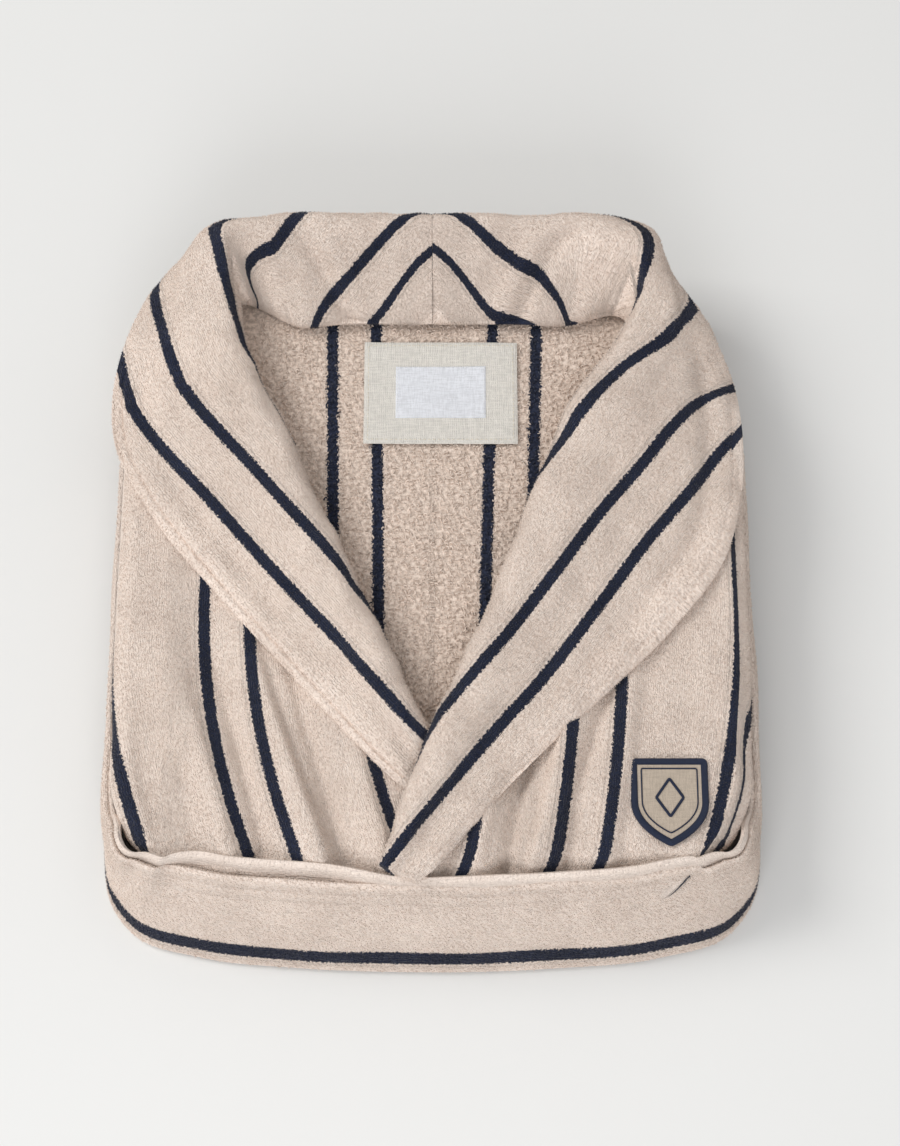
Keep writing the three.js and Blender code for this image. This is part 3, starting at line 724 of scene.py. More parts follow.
class ROBE_OT_back_panel(bpy.types.Operator):
    """The back panel, seen from its terry side inside the collar"""

    bl_idname = "robe.back_panel"
    bl_label = "Back panel"

    def execute(self, context):
        ground = terry_material("Terry ground", False)

        def edges(y, past):
            half = np.where(past == 0, chest_half_width(y) - 0.0055, pack_half_width(y))
            return -half, half

        def relief(x, y):
            return 0.0008 * ripple(x, y, 0.06, 21)

        def shift(x, y, past=0.0):
            return 0.0595 + 0.03 * np.clip(0.16 - y, 0, 0.4) * np.where(x > 0, 1.0, -0.6)

        piece, flat, area = folded_layer(
            "back_panel_cloth", ground, 2 * pack.pitch, edges, (0.0, 0.0), relief=relief, shift=shift,
            columns=90,
        )
        declare_layer(piece, "back_panel")
        self.add_loops(context, relief, shift)
        return {"FINISHED"}

    def add_loops(self, context, relief, shift):
        """Terry loops where the open collar shows the inside of the back."""
        cloth = context.scene.robe_cloth
        material = terry_material("Terry loops", True)
        level = pack.back_top - 0.0001
        low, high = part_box("neck_patch")
        for side in (-1, 1):
            rows = np.linspace(-0.125, 0.168, 60)
            shares = np.linspace(0, 1, 30)
            reach = side * roll_x(side, rows) + 0.004 + 0.0065 * smooth_step((rows - 0.115) / 0.01)
            reach = np.maximum(reach, 0.004)
            x = side * reach[:, None] * shares
            y = np.broadcast_to(rows[:, None], x.shape)
            points = np.stack([x, y, level + relief(x, y)], axis=2)
            faces = []
            wide = len(shares)
            for i in range(len(rows) - 1):
                for j in range(wide - 1):
                    middle = (x[i, j] + x[i, j + 1]) / 2
                    if low.x + 0.004 < middle < high.x - 0.004 and low.y + 0.004 < rows[i] < high.y - 0.006:
                        continue
                    face = (i * wide + j, i * wide + j + 1, (i + 1) * wide + j + 1, (i + 1) * wide + j)
                    faces.append(face if side > 0 else face[::-1])
            name = "terry_loops_left" if side < 0 else "terry_loops_right"
            patch = make_mesh(name, points, faces, material, x + shift(x, y), y, turn_out=False)
            grow(patch, loop_tree(material), {"Pitch": cloth.loop_pitch, "Height": cloth.loop_height})
            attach(patch, "root")


# ---------------------------------------------------------------- geometry nodes

def new_geometry_tree(name, inputs):
    tree = bpy.data.node_groups.new(name, "GeometryNodeTree")
    tree.interface.new_socket(name="Geometry", in_out="INPUT", socket_type="NodeSocketGeometry")
    for label, value in inputs.items():
        socket = tree.interface.new_socket(name=label, in_out="INPUT", socket_type="NodeSocketFloat")
        socket.default_value = value
    tree.interface.new_socket(name="Geometry", in_out="OUTPUT", socket_type="NodeSocketGeometry")
    start = tree.nodes.new("NodeGroupInput")
    end = tree.nodes.new("NodeGroupOutput")
    return tree, start.outputs, end


def finish_tree(tree, instances, material, end):
    """Every tree makes its instances real and gives them their material."""
    real = add_node(tree, "GeometryNodeRealizeInstances", {"Geometry": instances})
    painted = add_node(tree, "GeometryNodeSetMaterial", {"Geometry": real.outputs[0], "Material": material})
    tree.links.new(painted.outputs[0], end.inputs[0])
    return tree


def loop_tree(material):
    """Terry loops over a surface: small leaning arches of yarn."""
    name = "Terry Loops"
    if name in bpy.data.node_groups:
        return bpy.data.node_groups[name]
    tree, given, end = new_geometry_tree(name, {"Pitch": 0.0019, "Height": 0.0017, "Yarn": 0.00042})
    density = maths(tree, "DIVIDE", 1.5, maths(tree, "MULTIPLY", given["Pitch"], given["Pitch"]))
    scatter = add_node(tree, "GeometryNodeDistributePointsOnFaces", {"Mesh": given["Geometry"], "Seed": 5},
                       distribute_method="POISSON")
    tree.links.new(given["Pitch"], scatter.inputs["Distance Min"])
    tree.links.new(density, scatter.inputs["Density Max"])
    arch = add_node(tree, "GeometryNodeCurveArc", {"Resolution": 5, "Sweep Angle": math.radians(250)})
    arch.inputs["Start Angle"].default_value = math.radians(-35)
    tree.links.new(maths(tree, "MULTIPLY", given["Height"], 0.5), arch.inputs["Radius"])
    yarn = add_node(tree, "GeometryNodeCurvePrimitiveCircle", {"Resolution": 3})
    tree.links.new(given["Yarn"], yarn.inputs["Radius"])
    tube = add_node(tree, "GeometryNodeCurveToMesh",
                    {"Curve": arch.outputs[0], "Profile Curve": yarn.outputs[0], "Fill Caps": True})
    upright = add_node(tree, "GeometryNodeTransform",
                       {"Geometry": tube.outputs[0], "Rotation": (math.pi / 2, 0, 0)})
    raised = add_node(tree, "GeometryNodeTransform", {"Geometry": upright.outputs[0]})
    lift = add_node(tree, "ShaderNodeCombineXYZ", {"Z": maths(tree, "MULTIPLY", given["Height"], 0.42)})
    tree.links.new(lift.outputs[0], raised.inputs["Translation"])
    turn = add_node(tree, "FunctionNodeRandomValue", {"Seed": 8}, data_type="FLOAT_VECTOR")
    turn.inputs[0].default_value = (-0.55, -0.55, 0)
    turn.inputs[1].default_value = (0.55, 0.55, 2 * math.pi)
    size = add_node(tree, "FunctionNodeRandomValue", {"Seed": 9}, data_type="FLOAT")
    size.inputs[2].default_value = 0.75
    size.inputs[3].default_value = 1.2
    placed = add_node(tree, "GeometryNodeInstanceOnPoints",
                      {"Points": scatter.outputs["Points"], "Instance": raised.outputs[0]})
    tree.links.new(turn.outputs[0], placed.inputs["Rotation"])
    tree.links.new(size.outputs[1], placed.inputs["Scale"])
    return finish_tree(tree, placed.outputs[0], material, end)


def pile_tree(material):
    """Standing pile over the upper side of a piece: small leaning tufts."""
    name = f"Pile {material.name}"
    if name in bpy.data.node_groups:
        return bpy.data.node_groups[name]
    tree, given, end = new_geometry_tree(name, {"Pitch": 0.001, "Height": 0.0015, "Lowest": 0.04})
    place = add_node(tree, "GeometryNodeInputPosition").outputs[0]
    height = add_node(tree, "ShaderNodeSeparateXYZ", {"Vector": place}).outputs[2]
    normal = add_node(tree, "GeometryNodeInputNormal").outputs[0]
    facing = add_node(tree, "ShaderNodeSeparateXYZ", {"Vector": normal})
    upward = maths(tree, "GREATER_THAN", facing.outputs[2], -0.15)
    chosen = maths(tree, "MULTIPLY", upward, maths(tree, "GREATER_THAN", height, given["Lowest"]))
    density = maths(tree, "DIVIDE", 1.0, maths(tree, "MULTIPLY", given["Pitch"], given["Pitch"]))
    scatter = add_node(tree, "GeometryNodeDistributePointsOnFaces", {"Mesh": given["Geometry"], "Seed": 3})
    tree.links.new(density, scatter.inputs["Density"])
    tree.links.new(chosen, scatter.inputs["Selection"])
    tuft = add_node(tree, "GeometryNodeMeshCone",
                    {"Vertices": 3, "Radius Top": 0.0, "Radius Bottom": 0.00034})
    tree.links.new(given["Height"], tuft.inputs["Depth"])
    lean = add_node(tree, "FunctionNodeRandomValue", {"Seed": 4}, data_type="FLOAT_VECTOR")
    lean.inputs[0].default_value = (-0.75, -0.75, 0)
    lean.inputs[1].default_value = (0.75, 0.75, 2 * math.pi)
    turned = add_node(tree, "FunctionNodeRotateRotation", rotation_space="LOCAL")
    tree.links.new(scatter.outputs["Rotation"], turned.inputs[0])
    tree.links.new(lean.outputs[0], turned.inputs[1])
    size = add_node(tree, "FunctionNodeRandomValue", {"Seed": 6}, data_type="FLOAT")
    size.inputs[2].default_value = 0.6
    size.inputs[3].default_value = 1.15
    placed = add_node(tree, "GeometryNodeInstanceOnPoints",
                      {"Points": scatter.outputs["Points"], "Instance": tuft.outputs["Mesh"]})
    tree.links.new(turned.outputs[0], placed.inputs["Rotation"])
    tree.links.new(size.outputs[1], placed.inputs["Scale"])
    return finish_tree(tree, placed.outputs[0], material, end)


def add_pile(piece, lowest):
    """A second piece that holds the standing pile of a cloth piece."""
    cloth = bpy.context.scene.robe_cloth
    base = piece.data
    pile = bpy.data.objects.new(piece.name.replace("_cloth", "_pile"), base.copy())
    bpy.context.scene.collection.objects.link(pile)
    values = {"Pitch": cloth.pile_pitch, "Height": cloth.pile_height, "Lowest": lowest}
    grow(pile, pile_tree(base.materials[0]), values)
    return pile


def stitch_tree(name, material):
    """Stitches along a line of edges."""
    if name in bpy.data.node_groups:
        return bpy.data.node_groups[name]
    tree, given, end = new_geometry_tree(name, {"Pitch": 0.0028, "Length": 0.0021, "Width": 0.00045})
    line = add_node(tree, "GeometryNodeMeshToCurve", {"Mesh": given["Geometry"]})
    spaced = add_node(tree, "GeometryNodeResampleCurve", {"Curve": line.outputs[0]}, mode="LENGTH")
    tree.links.new(given["Pitch"], spaced.inputs["Length"])
    stitch = add_node(tree, "GeometryNodeMeshUVSphere", {"Segments": 6, "Rings": 4, "Radius": 0.5})
    tangent = add_node(tree, "GeometryNodeInputTangent")
    aim = add_node(tree, "FunctionNodeAlignRotationToVector", {"Vector": tangent.outputs[0]}, axis="X")
    size = add_node(tree, "ShaderNodeCombineXYZ",
                    {"X": given["Length"], "Y": given["Width"], "Z": given["Width"]})
    placed = add_node(tree, "GeometryNodeInstanceOnPoints",
                      {"Points": spaced.outputs[0], "Instance": stitch.outputs[0],
                       "Rotation": aim.outputs[0], "Scale": size.outputs[0]})
    return finish_tree(tree, placed.outputs[0], material, end)


def grow(piece, tree, values):
    """Runs a geometry node tree on a piece and keeps its result as a plain mesh."""
    modifier = piece.modifiers.new("Grow", "NODES")
    modifier.node_group = tree
    for item in tree.interface.items_tree:
        if item.in_out == "INPUT" and item.name in values:
            modifier[item.identifier] = values[item.name]
    depsgraph = bpy.context.evaluated_depsgraph_get()
    made = bpy.data.meshes.new_from_object(piece.evaluated_get(depsgraph))
    piece.modifiers.remove(modifier)
    old = piece.data
    piece.data = made
    bpy.data.meshes.remove(old)
    if not made.polygons:
        raise RuntimeError(f"{piece.name} grew nothing")
    made.shade_smooth()
    return piece


def stitch_row(name, points, material):
    """A closed row of stitches through points, as one piece."""
    trim = bpy.context.scene.robe_trim
    mesh = bpy.data.meshes.new(name)
    count = len(points)
    edges = [(i, (i + 1) % count) for i in range(count)]
    mesh.from_pydata(np.asarray(points, float).tolist(), edges, [])
    piece = bpy.data.objects.new(name, mesh)
    bpy.context.scene.collection.objects.link(piece)
    values = {"Pitch": trim.stitch_pitch, "Length": trim.stitch_length, "Width": trim.stitch_width}
    grow(piece, stitch_tree(f"Stitches {material.name}", material), values)
    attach(piece, "root")


# ---------------------------------------------------------------- collar and lapels

# Key places round half of the collar, from the centre back to the foot of its lapel, for each side:
# crest x, y, height; heading of the fall in degrees; reach of the fall; height of its edge;
# how much it is lapel rather than standing collar; heading away from the stand; depth of the stand;
# height of the stand's foot.
COLLAR = {
    -1: [
        (-0.0002, 0.2160, 0.0955, 90, 0.0060, 0.0460, 0.0, 90, 0.0545, 0.0565),
        (-0.055, 0.2160, 0.0950, 90, 0.0060, 0.0460, 0.0, 92, 0.0545, 0.0565),
        (-0.100, 0.2150, 0.0945, 96, 0.0070, 0.0470, 0.0, 107, 0.0560, 0.0560),
        (-0.1225, 0.2090, 0.0920, 128, 0.0125, 0.0540, 0.25, 119, 0.0580, 0.0560),
        (-0.1225, 0.1900, 0.0895, 158, 0.0330, 0.0580, 0.55, 123, 0.0450, 0.0565),
        (-0.1135, 0.1520, 0.0860, 184, 0.0690, 0.0600, 0.9, 140, 0.0216, 0.0580),
        (-0.1000, 0.1160, 0.0840, 197, 0.0900, 0.0610, 1.0, 180, 0.0100, 0.0593),
        (-0.0800, 0.0720, 0.0825, 204, 0.0895, 0.0635, 1.0, 204, 0.0100, 0.0593),
        (-0.0575, 0.0210, 0.0820, 210, 0.0740, 0.0638, 1.0, 210, 0.0100, 0.0593),
        (-0.0335, -0.0300, 0.0810, 221, 0.0570, 0.0638, 1.0, 221, 0.0100, 0.0593),
        (-0.0175, -0.0640, 0.0790, 232, 0.0470, 0.0638, 1.0, 232, 0.0100, 0.0593),
        (-0.0040, -0.0930, 0.0740, 247, 0.0390, 0.0630, 1.0, 247, 0.0100, 0.0593),
        (0.0050, -0.1080, 0.0660, 248, 0.0330, 0.0615, 1.0, 248, 0.0100, 0.0593),
    ],
    1: [
        (0.0002, 0.2160, 0.0955, 90, 0.0060, 0.0460, 0.0, 90, 0.0545, 0.0565),
        (0.055, 0.2160, 0.0950, 90, 0.0060, 0.0460, 0.0, 88, 0.0545, 0.0565),
        (0.094, 0.2145, 0.0945, 84, 0.0080, 0.0470, 0.0, 77, 0.0550, 0.0565),
        (0.121, 0.2030, 0.0920, 50, 0.0150, 0.0540, 0.2, 63, 0.0515, 0.0565),
        (0.1235, 0.1740, 0.0895, 26, 0.0270, 0.0600, 0.5, 50, 0.0300, 0.0565),
        (0.1120, 0.1470, 0.0880, 2, 0.0560, 0.0620, 0.85, 45, 0.0180, 0.0590),
        (0.0930, 0.1200, 0.0875, -12, 0.0880, 0.0640, 1.0, 0, 0.0100, 0.0642),
        (0.0755, 0.0850, 0.0870, -18, 0.1080, 0.0650, 1.0, -18, 0.0100, 0.0642),
        (0.0615, 0.0530, 0.0870, -23, 0.1150, 0.0687, 1.0, -23, 0.0100, 0.0642),
        (0.0445, 0.0060, 0.0860, -27, 0.1010, 0.0687, 1.0, -27, 0.0100, 0.0642),
        (0.0275, -0.0400, 0.0860, -30, 0.0790, 0.0687, 1.0, -30, 0.0100, 0.0642),
        (0.0080, -0.0830, 0.0850, -31, 0.0610, 0.0687, 1.0, -31, 0.0100, 0.0642),
        (-0.0085, -0.1220, 0.0835, -34, 0.0460, 0.0687, 1.0, -34, 0.0100, 0.0642),
        (-0.0190, -0.1520, 0.0810, -34, 0.0350, 0.0680, 1.0, -34, 0.0100, 0.0642),
        (-0.0285, -0.1790, 0.0740, -24, 0.0230, 0.0668, 1.0, -24, 0.0100, 0.0642),
    ],
}
# Where the cloth's stripes lie along the roll, as (distance from the centre back, cloth across the stripes).
LAY = {
    -1: [(0, 0), (0.10, 0.071), (0.125, 0.081), (0.16, 0.086), (0.205, 0.089), (0.373, 0.135), (0.48, 0.164)],
    1: [(0, 0), (0.05, 0.032), (0.125, 0.049), (0.19, 0.068), (0.263, 0.083), (0.44, 0.130), (0.56, 0.163)],
}
STAND_LAY = [(0, 0), (0.11, 0.079), (0.16, 0.09), (0.56, 0.163)]
FIRST_CHEVRON = 0.020
# Cloth without a stripe, for what the roll of each lapel hides.
BETWEEN_STRIPES = {-1: 0.0925, 1: 0.055}
SPANS = (12, 14, 12, 8, 8, 8, 8, 6, 5, 5, 5, 5, 5, 6)
CREST_POINT = 4
SHOULDER_ROW = 5


def standing_section(reach, top, edge, depth, foot):
    """Section of the collar behind the neck, as outward distance and height, from the edge of the fall over
    the crest and down the stand to its foot, and back along the underside."""
    rise = top - foot
    return [
        (reach - 0.003, edge), (reach, edge + 0.010), (reach, (top + edge) / 2 + 0.002),
        (reach - 0.002, top - 0.010),
        (-0.003, top), (-0.33 * depth, top - 0.2 * rise), (-0.66 * depth, foot + 0.45 * rise),
        (-depth + 0.004, foot + 0.010), (-depth - 0.001, foot + 0.004), (-depth + 0.003, foot + 0.0005),
        (-0.6 * depth, foot + 0.15 * rise), (-0.010, top - 0.014), (-0.004, (top + edge) / 2 - 0.004),
        (reach - 0.007, edge + 0.002),
    ]


def lapel_section(reach, top, edge, foot):
    """Section of a lapel, which lies flat past its full, rounded roll."""
    k = min(1.0, reach / 0.045)
    full = top - foot
    tip = edge - foot
    return [
        (reach, edge), (0.88 * reach, edge + 0.0045), (0.55 * reach, foot + 0.62 * full),
        (0.2 * reach + 0.008 * k, top - 0.0015), (0.010 * k, top), (0.003 * k, foot + 0.84 * full),
        (0, foot + 0.58 * full), (0.001 * k, foot + 0.32 * full), (0.0045 * k, foot + 0.0022),
        (0.010 * k, foot + 0.0004), (0.018 * k, foot + 0.0003), (0.35 * reach, foot + 0.0003),
        (0.65 * reach, foot + 0.0003), (reach - 0.004 * k, foot + 0.0008 + max(0, tip - 0.0046)),
    ]


def through_ring(controls, spans):
    """A closed smooth ring through control points, with so many steps in each span."""
    size = len(controls)
    made = []
    for i in range(size):
        a, b, c, d = (controls[(i + k) % size] for k in (-1, 0, 1, 2))
        for f in np.arange(spans[i]) / spans[i]:
            made.append(0.5 * (2 * b + (c - a) * f + (2 * a - 5 * b + 4 * c - d) * f**2
                               + (3 * b - a - 3 * c + d) * f**3))
    return np.array(made)


def collar_rings(side, step=0.0022):
    """Rings of half the collar with their cloth coordinates and their distance from the centre back."""
    rows = COLLAR[side]
    crest = np.array([row[:3] for row in rows])
    knots = lengths_along(crest)
    sections = []
    for row in rows:
        _, _, top, _, reach, edge, lapel, _, depth, foot = row
        standing = np.array(standing_section(reach, top, edge, depth, foot))
        lying = np.array(lapel_section(reach, top, edge, foot))
        sections.append(standing + (lying - standing) * lapel)
    count = int(knots[-1] / step)
    at = np.linspace(0, knots[-1], count)
    line = smooth_through(knots, crest, at)
    local = smooth_through(knots, np.array(sections), at)
    turn = smooth_through(knots, np.radians([(row[3], row[7]) for row in rows]), at)
    outward, inward = (np.stack([np.cos(turn[:, k]), np.sin(turn[:, k])], axis=1) for k in range(2))
    wide = np.array([through_ring(section, SPANS) for section in local])
    out_part = np.maximum(wide[:, :, :1], 0) * outward[:, None]
    in_part = np.minimum(wide[:, :, :1], 0) * inward[:, None]
    rings = np.concatenate([line[:, None, :2] + out_part + in_part, wide[:, :, 1:]], axis=2)
    reach = surface_reach(wide)
    tangent = np.gradient(line[:, :2], axis=0)
    tangent /= np.linalg.norm(tangent, axis=1, keepdims=True)
    normal = np.stack([tangent[:, 1], -tangent[:, 0]], axis=1) * -side
    skew = (outward * tangent).sum(axis=1)[:, None]
    square = (outward * normal).sum(axis=1)[:, None]
    lapel = smooth_through(knots, np.array([row[6] for row in rows])[:, None], at)
    over = reach + 0.010 * lapel
    place = np.clip(at[:, None] + over * skew, 0, None)
    out = np.maximum(over, -0.014 - 0.07 * (1 - lapel)) * square
    lay, stand = np.array(LAY[side]), np.array(STAND_LAY)
    down = smooth_step(-reach / 0.045) * (1 - smooth_step((at[:, None] - 0.12) / 0.05))
    across = np.interp(place, lay[:, 0], lay[:, 1]) * (1 - down)
    across = across + np.interp(place, stand[:, 0], stand[:, 1]) * down
    slope = np.clip(np.gradient(np.interp(at, lay[:, 0], lay[:, 1]), at), 0, 0.9)
    slope = np.convolve(np.pad(slope, 6, mode="edge"), np.ones(13) / 13, mode="valid")[:, None]
    gather = 1 + 0.4 * np.exp(-((at[:, None] / 0.02) ** 2))
    across = across + out * np.sqrt(1 - slope**2) * gather + FIRST_CHEVRON
    last = FIRST_CHEVRON + 0.174
    across = np.where(across > last, last + 0.02 * np.tanh((across - last) / 0.02), across)
    across = np.maximum(across, -0.036)
    tucked = smooth_step((at[:, None] - 0.124) / 0.012) * (1 - smooth_step((at[:, None] - 0.25) / 0.03))
    tucked = tucked * smooth_step((-reach - 0.012) / 0.003)
    across = across + (BETWEEN_STRIPES[side] - across) * tucked
    along = place * np.sqrt(1 - slope**2) - out * slope
    return rings, across, along, at, reach


def surface_reach(sections):
    """Distance over the cloth from the crest: outward is positive, down the stand is negative."""
    first = sum(SPANS[:CREST_POINT])
    foot = sum(SPANS[:8])
    step = np.linalg.norm(np.diff(sections, axis=1), axis=2)
    total = np.concatenate([np.zeros((len(sections), 1)), np.cumsum(step, axis=1)], axis=1)
    reach = total[:, first:first + 1] - total
    under = sections[:, foot:, 0]
    inner = reach[:, foot - 1:foot]
    outer = reach[:, :1]
    span = sections[:, :1, 0] - sections[:, foot - 1:foot, 0]
    share = (under - sections[:, foot - 1:foot, 0]) / np.maximum(span, 1e-6)
    reach[:, foot:] = inner + (outer - inner) * share
    return reach


def shape_collar(rings, reach, at, side):
    """Gives the collar its stitched edge, its soft creases and the seam at its centre back."""
    normal = ring_normals(rings)
    edge = reach[:, :1] - reach
    along = at[:, None]
    top_side = np.arange(rings.shape[1]) < sum(SPANS[:8])
    lapel = smooth_step((along - 0.17) / 0.05)
    seam = -0.0016 * np.exp(-(((edge - 0.0056) / 0.0010) ** 2)) * lapel * (1.0 if side < 0 else 0.35)
    trough = -0.0030 * np.exp(-(((edge - 0.021) / 0.007) ** 2)) * lapel * smooth_step((0.44 - along) / 0.15)
    soft = 0.0013 * ripple(along, reach, 0.055, 31 + side) + 0.0006 * ripple(along, reach, 0.02, 41 + side)
    stand = (1 - lapel) * smooth_step((along - 0.03) / 0.03) * smooth_step((-0.004 - reach) / 0.01)
    crease = (along - 0.085 - 0.55 * reach) / 0.007
    tuck = -0.0036 * np.exp(-(crease**2)) * stand + 0.0022 * np.exp(-((crease + 2.2) ** 2)) * stand
    pinch = -0.0004 * np.exp(-((along / 0.003) ** 2))
    return rings + normal * ((seam + trough + soft + tuck) * top_side + pinch)[:, :, None]


class ROBE_OT_collar(bpy.types.Operator):
    """The shawl collar: both halves behind the neck, and the lapels that turn on their roll lines"""

    bl_idname = "robe.collar"
    bl_label = "Collar and lapels"

    def execute(self, context):
        cloth = context.scene.robe_cloth
        velour = velour_material("Collar velour", cloth.collar_gap, cloth.collar_period)
        for side in (-1, 1):
            name = "left" if side < 0 else "right"
            rings, across, along, at, reach = collar_rings(side)
            rings = shape_collar(rings, reach, at, side)
            crest = np.array([row[:3] for row in COLLAR[side]])
            shoulder = int(np.searchsorted(at, lengths_along(crest)[SHOULDER_ROW]))
            cuts = [0, shoulder, len(at) - 1]
            names = ["collar_back", "lapel"]
            if side < 0:
                low = int(np.searchsorted(at, lengths_along(crest)[8]))
                cuts = [0, shoulder, low, len(at) - 1]
                names = ["collar_back", "lapel", "lapel_foot"]
            pieces = []
            for label, start, end in zip(names, cuts[:-1], cuts[1:]):
                part = slice(start, end + 1)
                piece = make_skin(f"{label}_{name}_cloth", rings[part], velour, across[part], along[part])
                pieces.append(piece)
            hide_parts(f"collar_back_{name}")
            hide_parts(f"lapel_{name}")
            self.hang(pieces, side, name)
            self.hang([add_pile(piece, pack.left_top) for piece in pieces], side, name)
        return {"FINISHED"}

    def hang(self, pieces, side, name):
        """The back rides on the body of the robe; the lapels keep their place, baked into their points."""
        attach(pieces[0], "root")

        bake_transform(pieces[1])
        if side < 0:
            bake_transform(pieces[2])


# ---------------------------------------------------------------- belt

def belt_plan(depth):
    """Plan of half the belt at its lower edge, set in by a depth, from the left rear to the centre front."""
    side, front = pack.half_width - 0.0006 - depth, pack.front + 0.0024 + depth
    return [
        (-side, pack.belt_rear), (-side, pack.belt_rear - 0.1), (-side, -0.09), (-side + 0.0005, -0.150),
        (-side + 0.0045, -0.180 + 0.5 * depth), (-side + 0.018, -0.1975 + depth),
        (-side + 0.055, front + 0.0085), (-side + 0.110, front + 0.0025), (0.0, front),
    ]


def belt_path(depth, step):
    half = np.array(belt_plan(depth))
    whole = np.vstack([half, (half * (-1, 1))[-2::-1]])
    knots = lengths_along(whole)
    at = np.arange(0, knots[-1], step)
    return smooth_through(knots, whole, at)


BELT_CLOTH = 0.062
STITCHED_ROWS = (0.90, 0.79, 0.055)


class ROBE_OT_belt(bpy.types.Operator):
    """The belt: one strip doubled back on itself, standing round the front of the pack"""

    bl_idname = "robe.belt"
    bl_label = "Belt"

    def execute(self, context):
        cloth = context.scene.robe_cloth
        velour = velour_material("Belt velour", 0.0, width=cloth.belt_stripe_width)
        step = 0.003
        outer = belt_path(0.0, step)
        inner = belt_path(0.0046, step)[::-1]
        middle = (outer[-1] + inner[0]) / 2
        bend = [middle + np.array([0.0023 * math.cos(a), 0.0023 * math.sin(a)]) for a in (0.9, 1.57, 2.2)]
        line = np.vstack([outer, bend, inner])
        inside = smooth_step((np.arange(len(line)) - len(outer)) / 3)
        tangent = np.gradient(line, axis=0)
        tangent /= np.linalg.norm(tangent, axis=1, keepdims=True)
        outward = np.stack([tangent[:, 1], -tangent[:, 0]], axis=1) * (1 - 2 * inside)[:, None]
        outward /= np.maximum(np.linalg.norm(outward, axis=1, keepdims=True), 1e-9)
        facing = np.clip(-outward[:, 1], 0, 1)
        lean = 0.0075 + 0.024 * facing
        lean = lean - inside * (0.0010 * (1 - facing) + 0.0016 * facing)
        left_front = smooth_step((-0.015 - line[:, 0]) / 0.05) * smooth_step((line[:, 0] + 0.165) / 0.04)
        lean = lean + inside * 0.006 * left_front * facing
        dip = smooth_step((line[:, 1] + 0.168) / 0.036)
        lean = lean - 0.0055 * dip
        tall = (0.0590 + 0.0048 * inside) * (1 - dip) + 0.0425 * dip
        rings, across, along = self.rings(line, outward, lean, tall, inside)
        piece = make_skin("belt_cloth", rings, velour, across, along)
        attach(piece, "waist_belt")
        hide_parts("belt")
        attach(add_pile(piece, 0.0), "waist_belt")
        return {"FINISHED"}

    def rings(self, line, outward, lean, tall, inside):
        """Section of the belt: a flattened tube with rounded edges and two stitched rows near its top."""
        path = lengths_along(line)
        levels = np.concatenate([np.linspace(0, 1, 40), np.linspace(1, 0, 40)[1:-1]])
        face = np.concatenate([np.ones(40), -np.ones(38)])
        ends = np.minimum(path, path[-1] - path)
        thin = np.sqrt(1 - (1 - np.clip(ends / 0.002, 0.1, 1)) ** 2)
        edge = np.minimum(levels, 1 - levels) * BELT_CLOTH
        half = 0.0020 * np.sqrt(1 - (1 - np.clip(edge / 0.002, 0, 1)) ** 2)
        away = [(levels - place) * BELT_CLOTH for place in STITCHED_ROWS]
        rows = sum(0.0007 * np.exp(-((distance / 0.0012) ** 2)) for distance in away)
        half = np.maximum(half - rows * (edge > 0.001), 0.0)
        bulge = 0.0016 * np.sin(math.pi * np.clip(levels / 0.75, 0, 1))
        wave = 0.0011 * ripple(path[:, None], levels[None] * 0.06, 0.09, 51)
        out = -lean[:, None] * levels + (bulge + wave) * (levels * (1 - levels) * 4)[None]
        out = out + (face * half)[None] * thin[:, None]
        uneven = 0.0008 * ripple(path[:, None], 0 * levels, 0.06, 52)
        height = 0.0012 + tall[:, None] * levels + uneven * levels
        place = line[:, None, :] + outward[:, None, :] * out[:, :, None]
        rings = np.concatenate([place, height[:, :, None]], axis=2)
        across = np.broadcast_to((levels * BELT_CLOTH - 0.0125)[None], height.shape)
        along = np.broadcast_to(path[:, None], height.shape)
        return rings, across, along


# ---------------------------------------------------------------- pieces inside the pack

def cushion_plate(name, outline, low, high, material, round_edge, cuts=30, turn=0.0):
    """A flat soft piece over a four-sided outline: full in the middle and rounded at its edges."""
    corners = np.array(outline, float)
    u = np.linspace(0, 1, cuts)
    grid_u, grid_v = np.meshgrid(u, u, indexing="ij")

    def place(a, b):
        a, b = a[..., None], b[..., None]
        return (corners[0] * (1 - a) * (1 - b) + corners[1] * a * (1 - b)
                + corners[2] * a * b + corners[3] * (1 - a) * b)

    plan = place(grid_u, grid_v)
    long = np.linalg.norm(corners[1] - corners[0])
    wide = np.linalg.norm(corners[3] - corners[0])
    edge = np.minimum(np.minimum(grid_u, 1 - grid_u) * long, np.minimum(grid_v, 1 - grid_v) * wide)
    full = np.sqrt(1 - (1 - np.clip(edge / round_edge, 0, 1)) ** 2)
    middle, half = (low + high) / 2, (high - low) / 2
    bumps = 1 - 0.12 * (1 + ripple(plan[..., 0], plan[..., 1], 0.03, 61)) * full
    upper = np.concatenate([plan, (middle + half * full * bumps)[..., None]], axis=2)
    lower = np.concatenate([plan, (middle - half * full * bumps)[..., None]], axis=2)
    count = cuts * cuts
    faces = []
    for i in range(cuts - 1):
        for j in range(cuts - 1):
            face = (i * cuts + j, (i + 1) * cuts + j, (i + 1) * cuts + j + 1, i * cuts + j + 1)
            faces.append(face)
            faces.append(tuple(count + k for k in face[::-1]))
    points = np.vstack([upper.reshape(-1, 3), lower.reshape(-1, 3)])
    across = np.tile((grid_v * wide + turn).ravel(), 2)
    along = np.tile((grid_u * long).ravel(), 2)
    piece = make_mesh(name, points, faces, material, across, along, turn_out=False)
    shape = bmesh.new()
    shape.from_mesh(piece.data)
    bmesh.ops.remove_doubles(shape, verts=shape.verts, dist=1e-6)
    bmesh.ops.recalc_face_normals(shape, faces=shape.faces)
    shape.to_mesh(piece.data)
    shape.free()
    return piece


